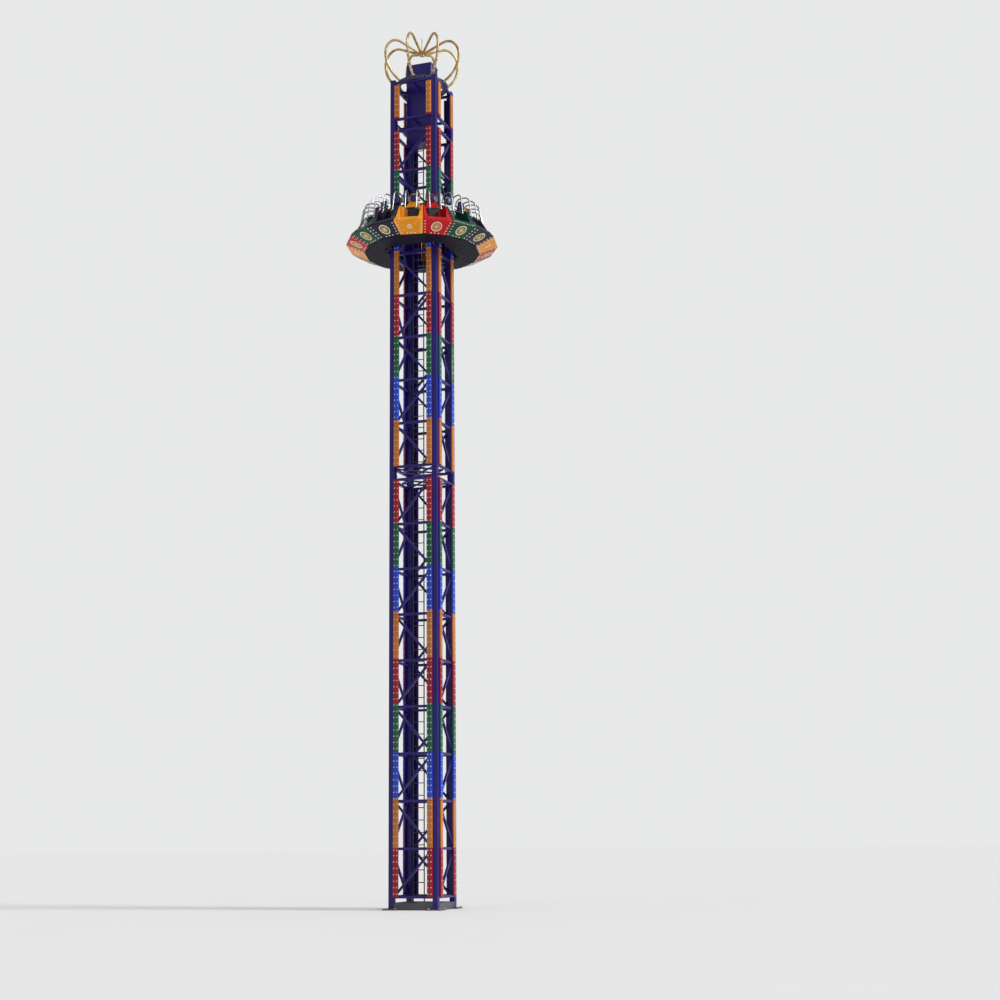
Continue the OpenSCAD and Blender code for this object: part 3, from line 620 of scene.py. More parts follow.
def board_lamps():
    """Two columns of lamps down every board."""
    columns = [side * BOARD_X + column * LAMP_X for side in (-1, 1) for column in (-1, 1)]
    for number, face in enumerate(FACES):
        points = [((x, -HALF - BOARD_T, z), (0, -1, 0)) for z in lamp_heights() for x in columns]
        mesh = grown(LAMPS, points_mesh("board_lamps_" + face, points), {"Cap": lamp_cap, "Bezel": lamp_ring})
        piece("board_lamps_" + face, mesh, "tower", face_place(number))


board_lamps()


# Bolts

def bolted(name, points, metal, head):
    """Bolts with heads of one size on some points."""
    return grown(BOLTS, points_mesh(name, points), {
        "Metal": metal, "Head": head, "Head Height": head * 0.8, "Washer": head * 1.35}), None


def housing_points():
    """Rows of small screws down both edges of the housing's four sheets."""
    points = []
    rows = 11
    for k in range(rows):
        z = HOUSING_LOW + 0.05 + (HOUSING_TOP - HOUSING_LOW - 0.1) * k / (rows - 1)
        for a in (-1, 1):
            for b in (-1, 1):
                points.append(((a * HOUSING_W / 2, b * (HOUSING_L / 2 - 0.03), z), (a, 0, 0)))
                points.append(((b * (HOUSING_W / 2 - 0.03), a * HOUSING_L / 2, z), (0, a, 0)))
    return points


def tower_bolts():
    """Bolts of the joint plates, the column feet, the head's ring and the housing."""
    points, anchors = [], []
    inner = HALF - COLUMN - 0.012
    plate_x = HALF - 0.06 - 0.002 - 0.033
    for face in range(4):
        turn = face_place(face)
        for joint in JOINTS:
            middle = joint + JOINT_GAP / 2
            for side in (-1, 1):
                for dx in (-0.018, 0.018):
                    for dz in (-0.115, -0.055, 0.055, 0.115):
                        spot = turn @ Vector((side * (plate_x + dx), -inner, middle + dz))
                        points.append((spot, turn @ Vector((0, 1, 0))))
                for dz in (-0.09, 0.09):
                    spot = turn @ Vector((side * (HALF - COLUMN / 2), -HALF, middle + dz))
                    points.append((spot, turn @ Vector((0, -1, 0))))
    for x in (-1, 1):
        for y in (-1, 1):
            for dx in (-1, 1):
                for dy in (-1, 1):
                    spot = (x * 0.535 + dx * ANCHOR_PITCH / 2, y * 0.535 + dy * ANCHOR_PITCH / 2, FOOT_T)
                    anchors.append((spot, (0, 0, 1)))
    for i in range(32):
        angle = STEP / 2 * (i + 0.5)
        out = Vector((math.sin(angle), math.cos(angle), 0))
        points.append((out * (RING_R + RING_W / 2) + Vector((0, 0, RING_Z + RING_H / 2)), out))
    parts = [bolted("joint_bolts", points, tower_paint, 0.015), bolted("anchors", anchors, zinc, 0.022),
             bolted("screws", housing_points(), tower_paint, 0.009)]
    piece("tower_bolts", joined("tower_bolts", parts), "tower")


tower_bolts()


# Shapes made from the frame

def merged(node):
    """A copy of a node's mesh as a bmesh, with its loose triangles joined at their shared corners."""
    bm = bmesh.new()
    bm.from_mesh(NODES[node].data)
    bmesh.ops.remove_doubles(bm, verts=bm.verts, dist=1e-5)
    return bm


def softened(node, width, segments=2, sharp=25):
    """A copy of a steel node with its sharp edges rounded, shown in its place."""
    bm = merged(node)
    bmesh.ops.dissolve_limit(
        bm, angle_limit=math.radians(0.5), verts=bm.verts, edges=bm.edges, delimit={"NORMAL"})
    edges = [e for e in bm.edges if len(e.link_faces) == 2 and e.calc_face_angle() > math.radians(sharp)]
    bmesh.ops.bevel(
        bm, geom=edges, offset=width, segments=segments, profile=0.5, affect="EDGES",
        clamp_overlap=True, harden_normals=False)
    mesh = bpy.data.meshes.new(node + "_rounded")
    bm.to_mesh(mesh)
    bm.free()
    mesh.materials.append(NODES[node].data.materials[0])
    made = piece(node + "_rounded", mesh, NODES[node]["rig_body"])
    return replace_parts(made, node)


def evaluated(mesh, *modifiers):
    """The mesh after a stack of modifiers, each a type and its settings."""
    carrier = bpy.data.objects.new("carrier", mesh)
    bpy.context.scene.collection.objects.link(carrier)
    for kind, settings in modifiers:
        made = carrier.modifiers.new(kind.lower(), kind)
        for key, value in settings.items():
            setattr(made, key, value)
    bpy.context.view_layer.update()
    result = bpy.data.meshes.new_from_object(carrier.evaluated_get(bpy.context.evaluated_depsgraph_get()))
    bpy.data.objects.remove(carrier)
    return result


def smooth(mesh, angle=None):
    """Shades a mesh smooth, apart from edges sharper than the angle."""
    mesh.shade_smooth()
    if angle:
        mesh.set_sharp_from_angle(angle=math.radians(angle))
    return mesh


# Seat shells

def beside(side, r, inset, z):
    """A point r out along the plane between two seats and inset from it into this one."""
    x = r * math.sin(HALF_STEP) - inset * math.cos(HALF_STEP)
    return Vector((side * x, r * math.cos(HALF_STEP) + inset * math.sin(HALF_STEP), z))


def wing_height(r):
    """Height of a wing's top edge at a distance from the tower's axis."""
    end = (PAN_FRONT - LIP_LEAN) / math.cos(HALF_STEP)
    if r <= WING_DROP_R:
        return WING_H + WING_RISE * (WING_DROP_R - r) / (WING_DROP_R - PAN_BACK)
    t = max(0.0, (end - r) / (end - WING_DROP_R))
    return LIP_H + (WING_H - LIP_H) * t * t * (3 - 2 * t)


def rolled_edge():
    """The line of the rolled edge: along one wing, across the lip and back along the other wing."""
    end = (PAN_FRONT - LIP_LEAN) / math.cos(HALF_STEP) - 0.02
    start = (BACK_R - 0.02) / math.cos(HALF_STEP)
    reach = [start + (end - start) * i / 26 for i in range(27)]
    inset = SEAT_GAP + WING_T / 2 + 0.004
    right = [beside(1, r, inset, wing_height(r) - 0.006) for r in reach]
    left = [beside(-1, r, inset, wing_height(r) - 0.006) for r in reversed(reach)]
    return right + left


def shell_mesh():
    """One seat shell: the plain solid with rolled edges, melted together and softened."""
    bm = merged("seats_yellow")
    seen, stack = set(), [bm.verts[:][0]]
    while stack:
        vert = stack.pop()
        if vert not in seen:
            seen.add(vert)
            stack += [e.other_vert(vert) for e in vert.link_edges]
    bmesh.ops.delete(bm, geom=[v for v in bm.verts if v not in seen], context="VERTS")
    centre = sum((v.co for v in bm.verts), Vector()) / len(bm.verts)
    turn = math.atan2(-centre.x, centre.y)
    number = round((turn - math.pi - HALF_STEP) / STEP)
    bmesh.ops.transform(bm, matrix=seat_place(number).inverted(), verts=bm.verts)
    solid = bpy.data.meshes.new("shell")
    bm.to_mesh(solid)
    bm.free()
    edge = grown(TUBES, path_mesh("edge", [rolled_edge()]), {"Radius": 0.0155, "Sides": 12})
    both = joined("shell", [(solid, None), (edge, None)])
    return smooth(evaluated(
        both, ("REMESH", {"mode": "VOXEL", "voxel_size": 0.009}),
        ("SMOOTH", {"factor": 0.5, "iterations": 5}), ("DECIMATE", {"ratio": 0.11})), 60)


def seat_shells():
    shell = shell_mesh()
    for number, colour in enumerate(COLOURS):
        places = [(shell, seat_place(i)) for i in range(number, SEATS, 4)]
        mesh = joined("seat_shells_" + colour, places)
        mesh.materials.clear()
        mesh.materials.append(shell_finish[colour])
        made = piece("seat_shells_" + colour, mesh, "gondola")
        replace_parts(made, "seats_" + colour)


seat_shells()


# Apron

APRON_RUN = (RIM_R - FLOOR_R) * math.cos(HALF_STEP)
APRON_SLANT = math.hypot(APRON_RUN, APRON_H)
APRON_TILT = math.atan2(APRON_H, APRON_RUN)


def apron_place(i, along, x=0.0):
    """On the outer face of apron panel i, some way up its slant: +Y runs up it and +Z out of it."""
    spot = Vector((
        x, FLOOR_R * math.cos(HALF_STEP) + along * math.cos(APRON_TILT),
        along * math.sin(APRON_TILT) - APRON_H))
    tilt = Matrix.Rotation(APRON_TILT, 4, "X") @ Matrix.Rotation(math.pi, 4, "Y")
    return seat_place(i) @ Matrix.Translation(spot) @ tilt


def apron_half(along):
    """Half the width of an apron panel some way up its slant."""
    return (FLOOR_R + (RIM_R - FLOOR_R) * along / APRON_SLANT) * math.sin(HALF_STEP) - 0.003


def ring_profile(steps, petals, depth):
    """A turned disc whose outline is [(radius, height)], with its rim waved by petals."""
    sides = 48
    verts, faces = [], []
    for r, z, wave in steps:
        for k in range(sides):
            a = 2 * math.pi * k / sides
            swell = 1 + wave * math.cos(petals * a)
            verts.append((r * swell * math.cos(a), r * swell * math.sin(a), z + depth))
    for j in range(len(steps) - 1):
        for k in range(sides):
            m = (k + 1) % sides
            faces.append((j * sides + k, j * sides + m, (j + 1) * sides + m, (j + 1) * sides + k))
    faces.append(list(range(sides))[::-1])
    faces.append([(len(steps) - 1) * sides + k for k in range(sides)])
    return verts, faces


def turned_disc(name, steps, material, petals=8, depth=0.0):
    mesh = bpy.data.meshes.new(name)
    verts, faces = ring_profile(steps, petals, depth)
    mesh.from_pydata(verts, [], faces)
    mesh.materials.append(material)
    bm = bmesh.new()
    bm.from_mesh(mesh)
    bmesh.ops.recalc_face_normals(bm, faces=bm.faces)
    bm.to_mesh(mesh)
    bm.free()
    return smooth(mesh, 35)


def roundel_parts(ground):
    """An oval medallion in layers: rim, ground and a plain rosette."""
    rim = turned_disc("rim", (
        (0.127, -0.004, 0), (0.13, 0.006, 0), (0.127, 0.012, 0), (0.117, 0.013, 0), (0.113, 0.009, 0),
        (0.104, 0.009, 0), (0.103, 0.001, 0)), ivory)
    field = turned_disc("field", ((0.106, -0.002, 0), (0.106, 0.006, 0), (0.09, 0.008, 0)), ground)
    ring = turned_disc("ring", ((0.079, 0.002, 0), (0.079, 0.012, 0), (0.072, 0.013, 0), (0.07, 0.003, 0)), ivory)
    rose = turned_disc("rose", (
        (0.062, 0.004, 0.12), (0.061, 0.013, 0.12), (0.04, 0.018, 0.1), (0.026, 0.014, 0.04)), old_gold)
    heart = turned_disc("heart", (
        (0.024, 0.006, 0), (0.024, 0.016, 0), (0.017, 0.021, 0), (0.007, 0.0225, 0)), ivory)
    return (rim, field, ring, rose, heart)


def roundels():
    """A medallion on every apron panel; the yellow ones carry a small ring."""
    parts = [roundel_parts(apron_finish[colour]) for colour in COLOURS]
    small = turned_disc("small_rim", (
        (0.056, -0.004, 0), (0.058, 0.007, 0), (0.054, 0.012, 0), (0.04, 0.012, 0), (0.037, 0.006, 0),
        (0.02, 0.006, 0)), ivory)
    knob = turned_disc("small_heart", ((0.019, 0.0, 0), (0.019, 0.01, 0), (0.012, 0.014, 0)), old_gold)
    oval = Matrix.Diagonal((1.0, 1.24, 1.0, 1.0))
    placed = []
    for i in range(SEATS):
        spot = apron_place(i, APRON_SLANT * 0.57) @ oval
        placed += [(part, spot) for part in ((small, knob) if i % 4 == 0 else parts[i % 4])]
    piece("apron_roundels", joined("apron_roundels", placed), "gondola")


def apron_lamps():
    """Lamps down both sides of every panel and along its lower edge."""
    points = []
    for i in range(SEATS):
        spots = []
        for k in range(5):
            along = APRON_SLANT * (0.12 + 0.19 * k)
            spots += [(side * (apron_half(along) - 0.045), along) for side in (-1, 1)]
        spots += [(x, APRON_SLANT * 0.1) for x in (-0.09, 0.0, 0.09)]
        for x, along in spots:
            place = apron_place(i, along, x)
            points.append((place.translation, place.to_3x3() @ Vector((0, 0, 1))))
    mesh = grown(LAMPS, points_mesh("apron_lamps", points), {
        "Cap": cap_white, "Bezel": cap_ring, "Cap Radius": 0.013, "Bezel Radius": 0.018, "Segments": 12})
    piece("apron_lamps", mesh, "gondola")


for colour in COLOURS:
    softened("apron_" + colour, 0.006, 3)
roundels()
apron_lamps()


# Pads

def pad_solid(w, l, thick, corner, waist):
    """A slab on the floor, w by l, with round corners and sides drawn in by the waist."""
    outline = []
    for cx, cy, first in ((1, 1, 0), (-1, 1, 90), (-1, -1, 180), (1, -1, 270)):
        for k in range(7):
            a = math.radians(first + 15 * k)
            x, y = cx * (w / 2 - corner) + corner * math.cos(a), cy * (l / 2 - corner) + corner * math.sin(a)
            outline.append((x, y))
    points = []
    for i, (x, y) in enumerate(outline):
        points.append((x, y))
        nx, ny = outline[(i + 1) % len(outline)]
        if math.hypot(nx - x, ny - y) > 2 * corner * math.sin(math.radians(8)):
            for k in range(1, 10):
                t = k / 10
                pull = waist * 4 * t * (1 - t)
                px, py = x + (nx - x) * t, y + (ny - y) * t
                points.append((px - pull * math.copysign(1, px), py) if abs(nx - x) < abs(ny - y)
                              else (px, py - pull * math.copysign(1, py)))
    levels = ((0.0, 0.006), (0.25 * thick, 0.0), (0.75 * thick, 0.0), (thick, 0.01))
    mesh = bpy.data.meshes.new("pad")
    n = len(points)
    verts = []
    for z, inset in levels:
        verts += [(x * (1 - 2 * inset / w), y * (1 - 2 * inset / l), z) for x, y in points]
    faces = [tuple(reversed(range(n))), tuple(range((len(levels) - 1) * n, len(levels) * n))]
    for j in range(len(levels) - 1):
        faces += [(j * n + i, j * n + (i + 1) % n, (j + 1) * n + (i + 1) % n, (j + 1) * n + i) for i in range(n)]
    mesh.from_pydata(verts, [], faces)
    return mesh


def blown(mesh, voxel, cap, top):
    """The pad swollen by a cloth simulation, flat where it rests and held under its top height."""
    start = evaluated(mesh, ("REMESH", {"mode": "VOXEL", "voxel_size": voxel}))
    rest = [v.co.copy() for v in start.vertices]
    carrier = bpy.data.objects.new("pad", start)
    bpy.context.scene.collection.objects.link(carrier)
    carrier.vertex_groups.new(name="resting").add([i for i, co in enumerate(rest) if co.z < 0.004], 1.0, "REPLACE")
    cloth = carrier.modifiers.new("cloth", "CLOTH")
    cloth.point_cache.frame_end = 20
    cloth.settings.vertex_group_mass = "resting"
    cloth.settings.use_pressure = True
    cloth.settings.uniform_pressure_force = 4.0
    cloth.settings.tension_stiffness = cloth.settings.compression_stiffness = 8.0
    cloth.settings.effector_weights.gravity = 0.0
    for number in range(1, 21):
        bpy.context.scene.frame_set(number)
    puffed = bpy.data.meshes.new_from_object(carrier.evaluated_get(bpy.context.evaluated_depsgraph_get()))
    bpy.data.objects.remove(carrier)
    bpy.context.scene.frame_set(1)
    for vert, home in zip(puffed.vertices, rest):
        step = vert.co - home
        if step.length > cap:
            step *= cap / step.length
        vert.co = home + step
        vert.co.z = min(max(vert.co.z, 0.0), top)
    return smooth(evaluated(puffed, ("SUBSURF", {"levels": 1}), ("SMOOTH", {"factor": 0.5, "iterations": 3})))


def channels(mesh, heights, depth, width, floor):
    """Sewn channels pressed across a pad's crown at some heights along it."""
    for vert in mesh.vertices:
        if vert.co.z > floor:
            press = sum(math.exp(-((vert.co.y - y) / width) ** 2) for y in heights)
            vert.co.z -= depth * min(1.0, press) * min(1.0, (vert.co.z - floor) / 0.012)
    return mesh


def piping(mesh, w, l, height, corner, inset):
    """A round cord along the pad's upper seam, laid on its surface."""
    shape = BVHTree.FromPolygons([v.co for v in mesh.vertices], [p.vertices for p in mesh.polygons])
    line = []
    for cx, cy, first in ((1, 1, 0), (-1, 1, 90), (-1, -1, 180), (1, -1, 270)):
        for k in range(5):
            a = math.radians(first + 22.5 * k)
            aim = Vector((
                cx * (w / 2 - corner) + corner * math.cos(a), cy * (l / 2 - corner) + corner * math.sin(a), height))
            line.append(aim)
    full = []
    for a, b in zip(line, line[1:] + line[:1]):
        steps = max(1, round((b - a).length / 0.02))
        full += [a.lerp(b, k / steps) for k in range(steps)]
    laid = [shape.find_nearest(p)[0] for p in full]
    middle = Vector((0, 0, height))
    laid = [p + (middle - p).normalized() * inset for p in laid]
    return grown(TUBES, path_mesh("piping", [laid], True), {"Radius": 0.0035, "Sides": 8, "Finish": pad_cord})


def finished_pad(w, l, thick, corner, voxel, rows, vinyl_finish):
    """A whole pad: blown up, channelled, thinned to a light mesh and piped."""
    body = blown(pad_solid(w - 0.016, l - 0.016, thick - 0.012, corner, 0.005), voxel, 0.012, thick - 0.001)
    channels(body, rows, 0.005, 0.006, thick * 0.55)
    light = smooth(evaluated(body, ("DECIMATE", {"ratio": min(1.0, 2600 / len(body.polygons) / 2)})))
    light.materials.clear()
    light.materials.append(vinyl_finish)
    cord = piping(light, w - 0.014, l - 0.014, thick * 0.66, corner, 0.002)
    return joined("pad", [(light, None), (cord, None)])


def on_back(i, z, l):
    """Where a pad l long lies against the leaning back of seat i, its foot z up the back."""
    lean = Matrix.Translation((0, BACK_R, 0)) @ Matrix.Rotation(BACK_LEAN, 4, "X")
    stand = Matrix(((-1, 0, 0, 0), (0, 0, 1, BACK_T / 2 + PAD_REST), (0, 1, 0, z + l / 2), (0, 0, 0, 1)))
    return seat_place(i) @ lean @ stand


def pads():
    w, near, far = SEAT_PAD
    seat = finished_pad(w, far - near, PAD_T, 0.045, 0.0095, (-0.1, 0.0, 0.1), seat_vinyl)
    flat = Matrix.Translation((0, (near + far) / 2, PAN_T + PAD_REST))
    places = [(seat, seat_place(i) @ flat) for i in range(SEATS)]
    made = piece("seat_pads", joined("seat_pads", places), "gondola")
    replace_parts(made, "seat_cushions")
    w, l, z = BACK_PAD
    back = finished_pad(w, l, PAD_T, 0.045, 0.0095, (-0.12, -0.04, 0.04, 0.12), seat_vinyl)
    places = [(back, on_back(i, z, l)) for i in range(SEATS)]
    made = piece("back_pads", joined("back_pads", places), "gondola")
    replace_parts(made, "back_cushions")
    w, l, z = HEAD_PAD
    head = finished_pad(w, l, PAD_T, 0.055, 0.007, (), navy_vinyl)
    places = [(head, on_back(i, z, l)) for i in range(SEATS)]
    made = piece("head_pads", joined("head_pads", places), "gondola")
    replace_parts(made, "headrest_pads")


pads()


# Restraints

def arc(centre, radius, first, last, steps):
    """Points along an arc in a side view, from one angle to another."""
    angles = [first + (last - first) * k / steps for k in range(steps + 1)]
    return [(centre[0] + radius * math.cos(a), centre[1] + radius * math.sin(a)) for a in angles]


def arm_line():
    """Side view of an arm (out, up) from its hinge: up, over the shoulder, and down the chest."""
    chest = (SHOULDER_R + ARM_LEVEL, ARM_RISE - CHEST_R)
    over = arc((SHOULDER_R, ARM_RISE - SHOULDER_R), SHOULDER_R, math.pi, math.pi / 2, 10)
    down = arc(chest, CHEST_R, math.pi / 2, math.pi / 2 - ARM_TURN, 9)
    last = down[-1]
    return [(0.0, 0.0)] + over + down + [
        (last[0] + ARM_DROP * math.cos(ARM_TURN), last[1] - ARM_DROP * math.sin(ARM_TURN))]


def across(mesh, x, y=0.0, z=0.0):
    """A turned part laid along X with its middle at a point."""
    return (mesh, Matrix.Translation((x, y, z)) @ Matrix.Rotation(math.pi / 2, 4, "Y"))


def restraint_mesh():
    """Two bent chrome arms with bosses on a shaft, and a padded bar across the lap."""
    line = arm_line()
    arms = path_mesh("arms", [[(x, y, z) for y, z in line] for x in (-ARM_X, ARM_X)])
    tubes = grown(TUBES, arms, {"Radius": ARM_R, "Sides": 14, "Finish": chrome})
    boss = turned_disc("boss", (
        (0.015, -0.018, 0), (0.022, -0.018, 0), (0.026, -0.014, 0), (0.026, 0.014, 0), (0.022, 0.018, 0),
        (0.015, 0.018, 0)), chrome)
    shaft = turned_disc("shaft", (
        (SHAFT_R - 0.002, -ARM_X, 0), (SHAFT_R, 0.002 - ARM_X, 0), (SHAFT_R, ARM_X - 0.002, 0),
        (SHAFT_R - 0.002, ARM_X, 0)), chrome)
    grip = ARM_X - 0.028
    sleeve = turned_disc("sleeve", (
        (0.013, -grip, 0), (0.018, 0.002 - grip, 0), (BAR_R, 0.012 - grip, 0), (BAR_R - 0.001, -0.04, 0),
        (BAR_R - 0.001, 0.04, 0), (BAR_R, grip - 0.012, 0), (0.018, grip - 0.002, 0), (0.013, grip, 0)), sleeve_foam)
    cap = turned_disc("cap", (
        (0.016, -0.03, 0), (0.02, -0.027, 0), (0.02, 0.02, 0), (0.017, 0.0245, 0), (0.009, 0.026, 0)), chrome)
    end = line[-1]
    parts = [(tubes, None), across(shaft, 0), across(sleeve, 0, *end)]
    for side in (-1, 1):
        parts.append(across(boss, side * ARM_X))
        place = Matrix.Translation((side * ARM_X, *end)) @ Matrix.Rotation(side * math.pi / 2, 4, "Y")
        parts.append((cap, place))
    return joined("restraint", parts)


def restraints():
    whole = restraint_mesh()
    for i in range(SEATS):
        name = "restraint_%02d" % (i + 1)
        mesh = whole.copy()
        place = seat_place(i) @ Matrix.Translation((0, HINGE_R, HINGE_Z))
        made = piece(name + "_bars", mesh, name, place)
        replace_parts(made, name)


restraints()


# Crown

def crown_line():
    """Side view of a crown tube (out, up from the column tops): foot, widest place, peak, hub."""
    foot = (RING_R, CROWN_FOOT)
    flare, rise = CROWN_WIDE[0] - foot[0], CROWN_WIDE[1] - foot[1]
    flare_r = (flare ** 2 + rise ** 2) / (2 * flare)
    bend = (CROWN_PEAK[0], CROWN_PEAK[1] - CROWN_BEND)
    run, step = CROWN_WIDE[0] - bend[0], bend[1] - CROWN_WIDE[1]
    side_r = (run ** 2 + step ** 2 - CROWN_BEND ** 2) / (2 * (run - CROWN_BEND))
    join = math.atan2(step, side_r - run)
    to_hub = (CROWN_HUB[0] - bend[0], CROWN_HUB[1] - bend[1])
    leave = math.pi + math.atan2(-to_hub[1], -to_hub[0]) - math.acos(CROWN_BEND / math.hypot(*to_hub))
    flared = arc((CROWN_WIDE[0] - flare_r, CROWN_WIDE[1]), flare_r, -math.asin(rise / flare_r), 0, 14)
    rising = arc((CROWN_WIDE[0] - side_r, CROWN_WIDE[1]), side_r, join / 5, join, 4)
    over = arc(bend, CROWN_BEND, join, leave, 16)[1:]
    return flared + rising + over + [CROWN_HUB]


def crown_place(i):
    """Crown tube i, with +Y looking out along it and height 0 at the column tops."""
    return Matrix.Translation((0, 0, TOWER_H)) @ Matrix.Rotation(2 * math.pi * i / CROWN_TUBES, 4, "Z")


def crown():
    """Bent tubes in their collars, and a turned hub with its spike."""
    line = crown_line()
    tube = grown(TUBES, path_mesh("tube", [[(0, y, z) for y, z in line]]), {
        "Radius": CROWN_TUBE_R, "Sides": 16, "Finish": crown_gold})
    low = RING_H - 0.06
    collar = turned_disc("collar", (
        (0.038, low, 0), (0.042, low + 0.004, 0), (0.042, low + 0.03, 0), (0.038, low + 0.036, 0),
        (0.038, low + 0.046, 0), (0.034, low + 0.05, 0)), crown_gold)
    parts = []
    for i in range(CROWN_TUBES):
        parts.append((tube, crown_place(i)))
        parts.append((collar, crown_place(i) @ Matrix.Translation((0, RING_R, 0))))
    made = piece("crown_tubes", joined("crown_tubes", parts), "tower")
    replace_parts(made, "crown_arcs")
    hub = turned_disc("hub", (
        (0.03, -0.055, 0), (0.056, -0.055, 0), (0.06, -0.05, 0), (0.06, -0.038, 0), (0.078, -0.03, 0),
        (0.08, -0.022, 0), (0.08, 0.022, 0), (0.078, 0.03, 0), (0.06, 0.038, 0), (0.06, 0.046, 0),
        (0.05, 0.055, 0), (0.03, 0.06, 0), (0.018, 0.075, 0), (0.012, 0.1, 0), (0.011, 0.25, 0), (0.008, 0.4, 0),
        (0.011, 0.405, 0), (0.012, 0.411, 0), (0.009, 0.418, 0), (0.003, 0.42, 0)), crown_gold)
    place = Matrix.Translation((0, 0, TOWER_H + CROWN_HUB[1]))
    made = piece("crown_hub_turned", joined("crown_hub_turned", [(hub, place)]), "tower")
    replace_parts(made, "crown_hub")


def crown_lamps():
    """Lamps along the outer side of every crown tube."""
    line = [Vector(p) for p in crown_line()]
    spots, since = [], 0.05
    for a, b in zip(line, line[1:]):
        length = (b - a).length
        while since < length:
            p, d = a.lerp(b, since / length), (b - a).normalized()
            spots.append((p, Vector((d.y, -d.x))))
            since += 0.1
        since -= length
    points = []
    for i in range(CROWN_TUBES):
        place = crown_place(i)
        for p, out in spots[:-6]:
            spot = p + out * (CROWN_TUBE_R - 0.001)
            points.append((place @ Vector((0, *spot)), place.to_3x3() @ Vector((0, *out))))
    mesh = grown(LAMPS, points_mesh("crown_lamps", points), {
        "Cap": cap_white, "Bezel": cap_ring, "Cap Radius": 0.012, "Bezel Radius": 0.016})
    piece("crown_lamps", mesh, "tower")


crown()
crown_lamps()


# Guide rollers

def guide_rollers():
    """Wheels that run on the columns: a tyre on a dished hub, and its axle in the lugs."""
    tyre = turned_disc("tyre", (
        (0.03, -0.012, 0), (0.051, -0.013, 0), (0.053, -0.021, 0), (0.066, -0.025, 0), (0.07, -0.019, 0),
        (0.07, 0.019, 0), (0.066, 0.025, 0), (0.053, 0.021, 0), (0.051, 0.013, 0), (0.03, 0.012, 0)), roller_rubber)
    hub = turned_disc("hub", (
        (0.018, -0.0255, 0), (0.022, -0.023, 0), (0.024, -0.015, 0), (0.046, -0.014, 0), (0.048, 0.0, 0),
        (0.046, 0.014, 0), (0.024, 0.015, 0), (0.022, 0.023, 0), (0.018, 0.0255, 0)), zinc)
    axle = turned_disc("axle", (
        (0.01, -0.027, 0), (0.0118, -0.026, 0), (0.0118, 0.026, 0), (0.01, 0.027, 0)), zinc)
    placed = []
    for face in range(4):
        for z in ROLLER_Z:
            for side in (-1, 1):
                spot = (side * ROLLER_X, -ROLLER_Y, RIM_Z + z)
                place = face_place(face) @ Matrix.Translation(spot) @ Matrix.Rotation(math.pi / 2, 4, "Y")
                placed += [(part, place) for part in (tyre, hub, axle)]
    made = piece("guide_wheels", joined("guide_wheels", placed), "gondola")
    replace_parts(made, "guide_rollers")


def joint_braces():
    """Tubes across the inside of the lower joint, corner to corner and between its middles."""
    low, high = JOINTS[0] + 0.03, JOINTS[0] + JOINT_GAP - 0.03
    corner, middle = HALF - COLUMN - 0.005, HALF - 0.09
    paths = []
    for z in (low, high):
        paths += [[(-corner, -corner, z), (corner, corner, z)], [(-corner, corner, z), (corner, -corner, z)]]
        spots = [(0, -middle, z), (middle, 0, z), (0, middle, z), (-middle, 0, z)]
        paths += [[a, b] for a, b in zip(spots, spots[1:] + spots[:1])]
    mesh = grown(TUBES, path_mesh("joint_braces", paths), {"Radius": 0.022, "Sides": 12, "Finish": tower_paint})
    piece("joint_braces", mesh, "tower")


guide_rollers()
joint_braces()


# Steelwork with rounded edges

for node, width in (
        ("columns_lower", 0.008), ("columns_middle", 0.008), ("columns_top", 0.008), ("splice_plates", 0.002),
        ("base_frame", 0.004), ("sheave_housing", 0.006), ("head_ring", 0.004), ("hinge_ring", 0.003),
        ("carriage", 0.003), ("top_deck", 0.003), ("gondola_floor", 0.004), ("gondola_ribs", 0.003),
        ("ladder", 0.003), ("bracing_top", 0.004)):
    softened(node, width)
for face in FACES:
    softened("lamp_boards_" + face, 0.002, 1)
    for section in ("lower", "middle"):
        softened("bracing_%s_%s" % (section, face), 0.004)


# Camera, light and floor

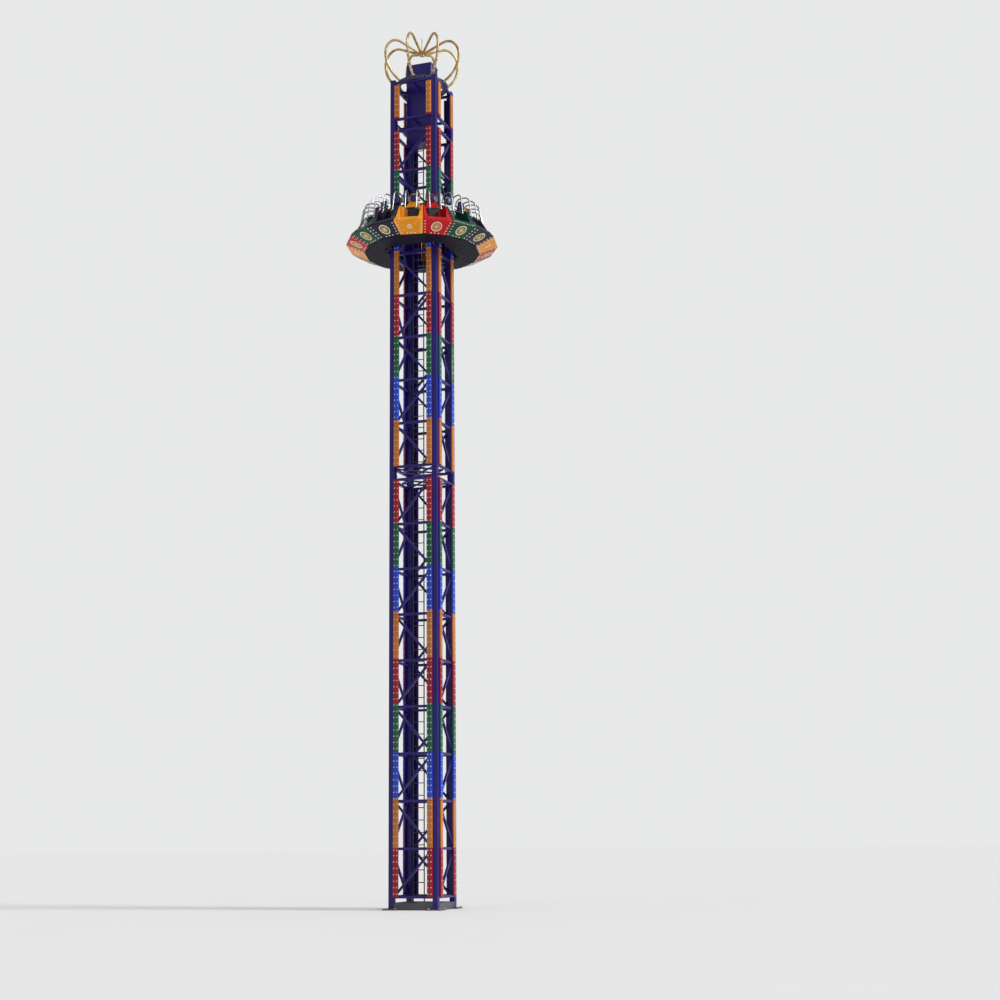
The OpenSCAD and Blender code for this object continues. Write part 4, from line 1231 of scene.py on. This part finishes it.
def set_camera():
    data = bpy.data.cameras.new("camera")
    data.sensor_width, data.lens, data.shift_y = 36.0, 61.09, 0.03
    data.clip_start, data.clip_end = 0.5, 400.0
    camera = bpy.data.objects.new("camera", data)
    camera.matrix_world = (
        Matrix.Translation((14.62, -36.785, 1.5)) @ Matrix.Rotation(0.33185, 4, "Z")
        @ Matrix.Rotation(math.pi / 2 + 0.18161, 4, "X") @ Matrix.Rotation(-0.00936, 4, "Z"))
    bpy.context.scene.collection.objects.link(camera)
    bpy.context.scene.camera = camera


def set_light():
    world = bpy.data.worlds.new("studio")
    bpy.context.scene.world = world
    world.use_nodes = True
    nodes, links = world.node_tree.nodes, world.node_tree.links
    nodes.clear()
    path = nodes.new("ShaderNodeLightPath")
    seen = nodes.new("ShaderNodeMath")
    seen.operation = "MAXIMUM"
    links.new(path.outputs["Is Camera Ray"], seen.inputs[0])
    links.new(path.outputs["Is Transmission Ray"], seen.inputs[1])
    soft, pale = nodes.new("ShaderNodeBackground"), nodes.new("ShaderNodeBackground")
    soft.inputs["Color"].default_value = (0.98, 0.985, 1.0, 1)
    soft.inputs["Strength"].default_value = 0.5
    pale.inputs["Color"].default_value = (0.805, 0.81, 0.815, 1)
    mix = nodes.new("ShaderNodeMixShader")
    links.new(seen.outputs[0], mix.inputs[0])
    links.new(soft.outputs[0], mix.inputs[1])
    links.new(pale.outputs[0], mix.inputs[2])
    links.new(mix.outputs[0], nodes.new("ShaderNodeOutputWorld").inputs[0])
    sun = bpy.data.lights.new("sun", "SUN")
    sun.energy, sun.angle = 2.6, math.radians(16)
    lamp = bpy.data.objects.new("sun", sun)
    lamp.rotation_euler = Vector((-0.9, 0.02, -0.55)).to_track_quat("-Z", "Y").to_euler()
    bpy.context.scene.collection.objects.link(lamp)


def set_floor():
    mesh = bpy.data.meshes.new("floor")
    rim = [(300 * math.cos(math.radians(a)), 300 * math.sin(math.radians(a)), 0) for a in range(0, 360, 5)]
    mesh.from_pydata(rim, [], [list(range(len(rim)))])
    f = Finish("floor_grey")
    f.colour(f.blend(f.noise(0.4, 3), (0.865, 0.865, 0.865, 1), (0.89, 0.89, 0.89, 1)))
    f.roughness(f.band(f.noise(1.5, 2), 0.3, 0.7, 0.85, 0.95))
    mesh.materials.append(f.material)
    floor = bpy.data.objects.new("floor", mesh)
    bpy.context.scene.collection.objects.link(floor)


set_camera()
set_light()
set_floor()
bpy.context.scene.view_settings.view_transform = "Standard"
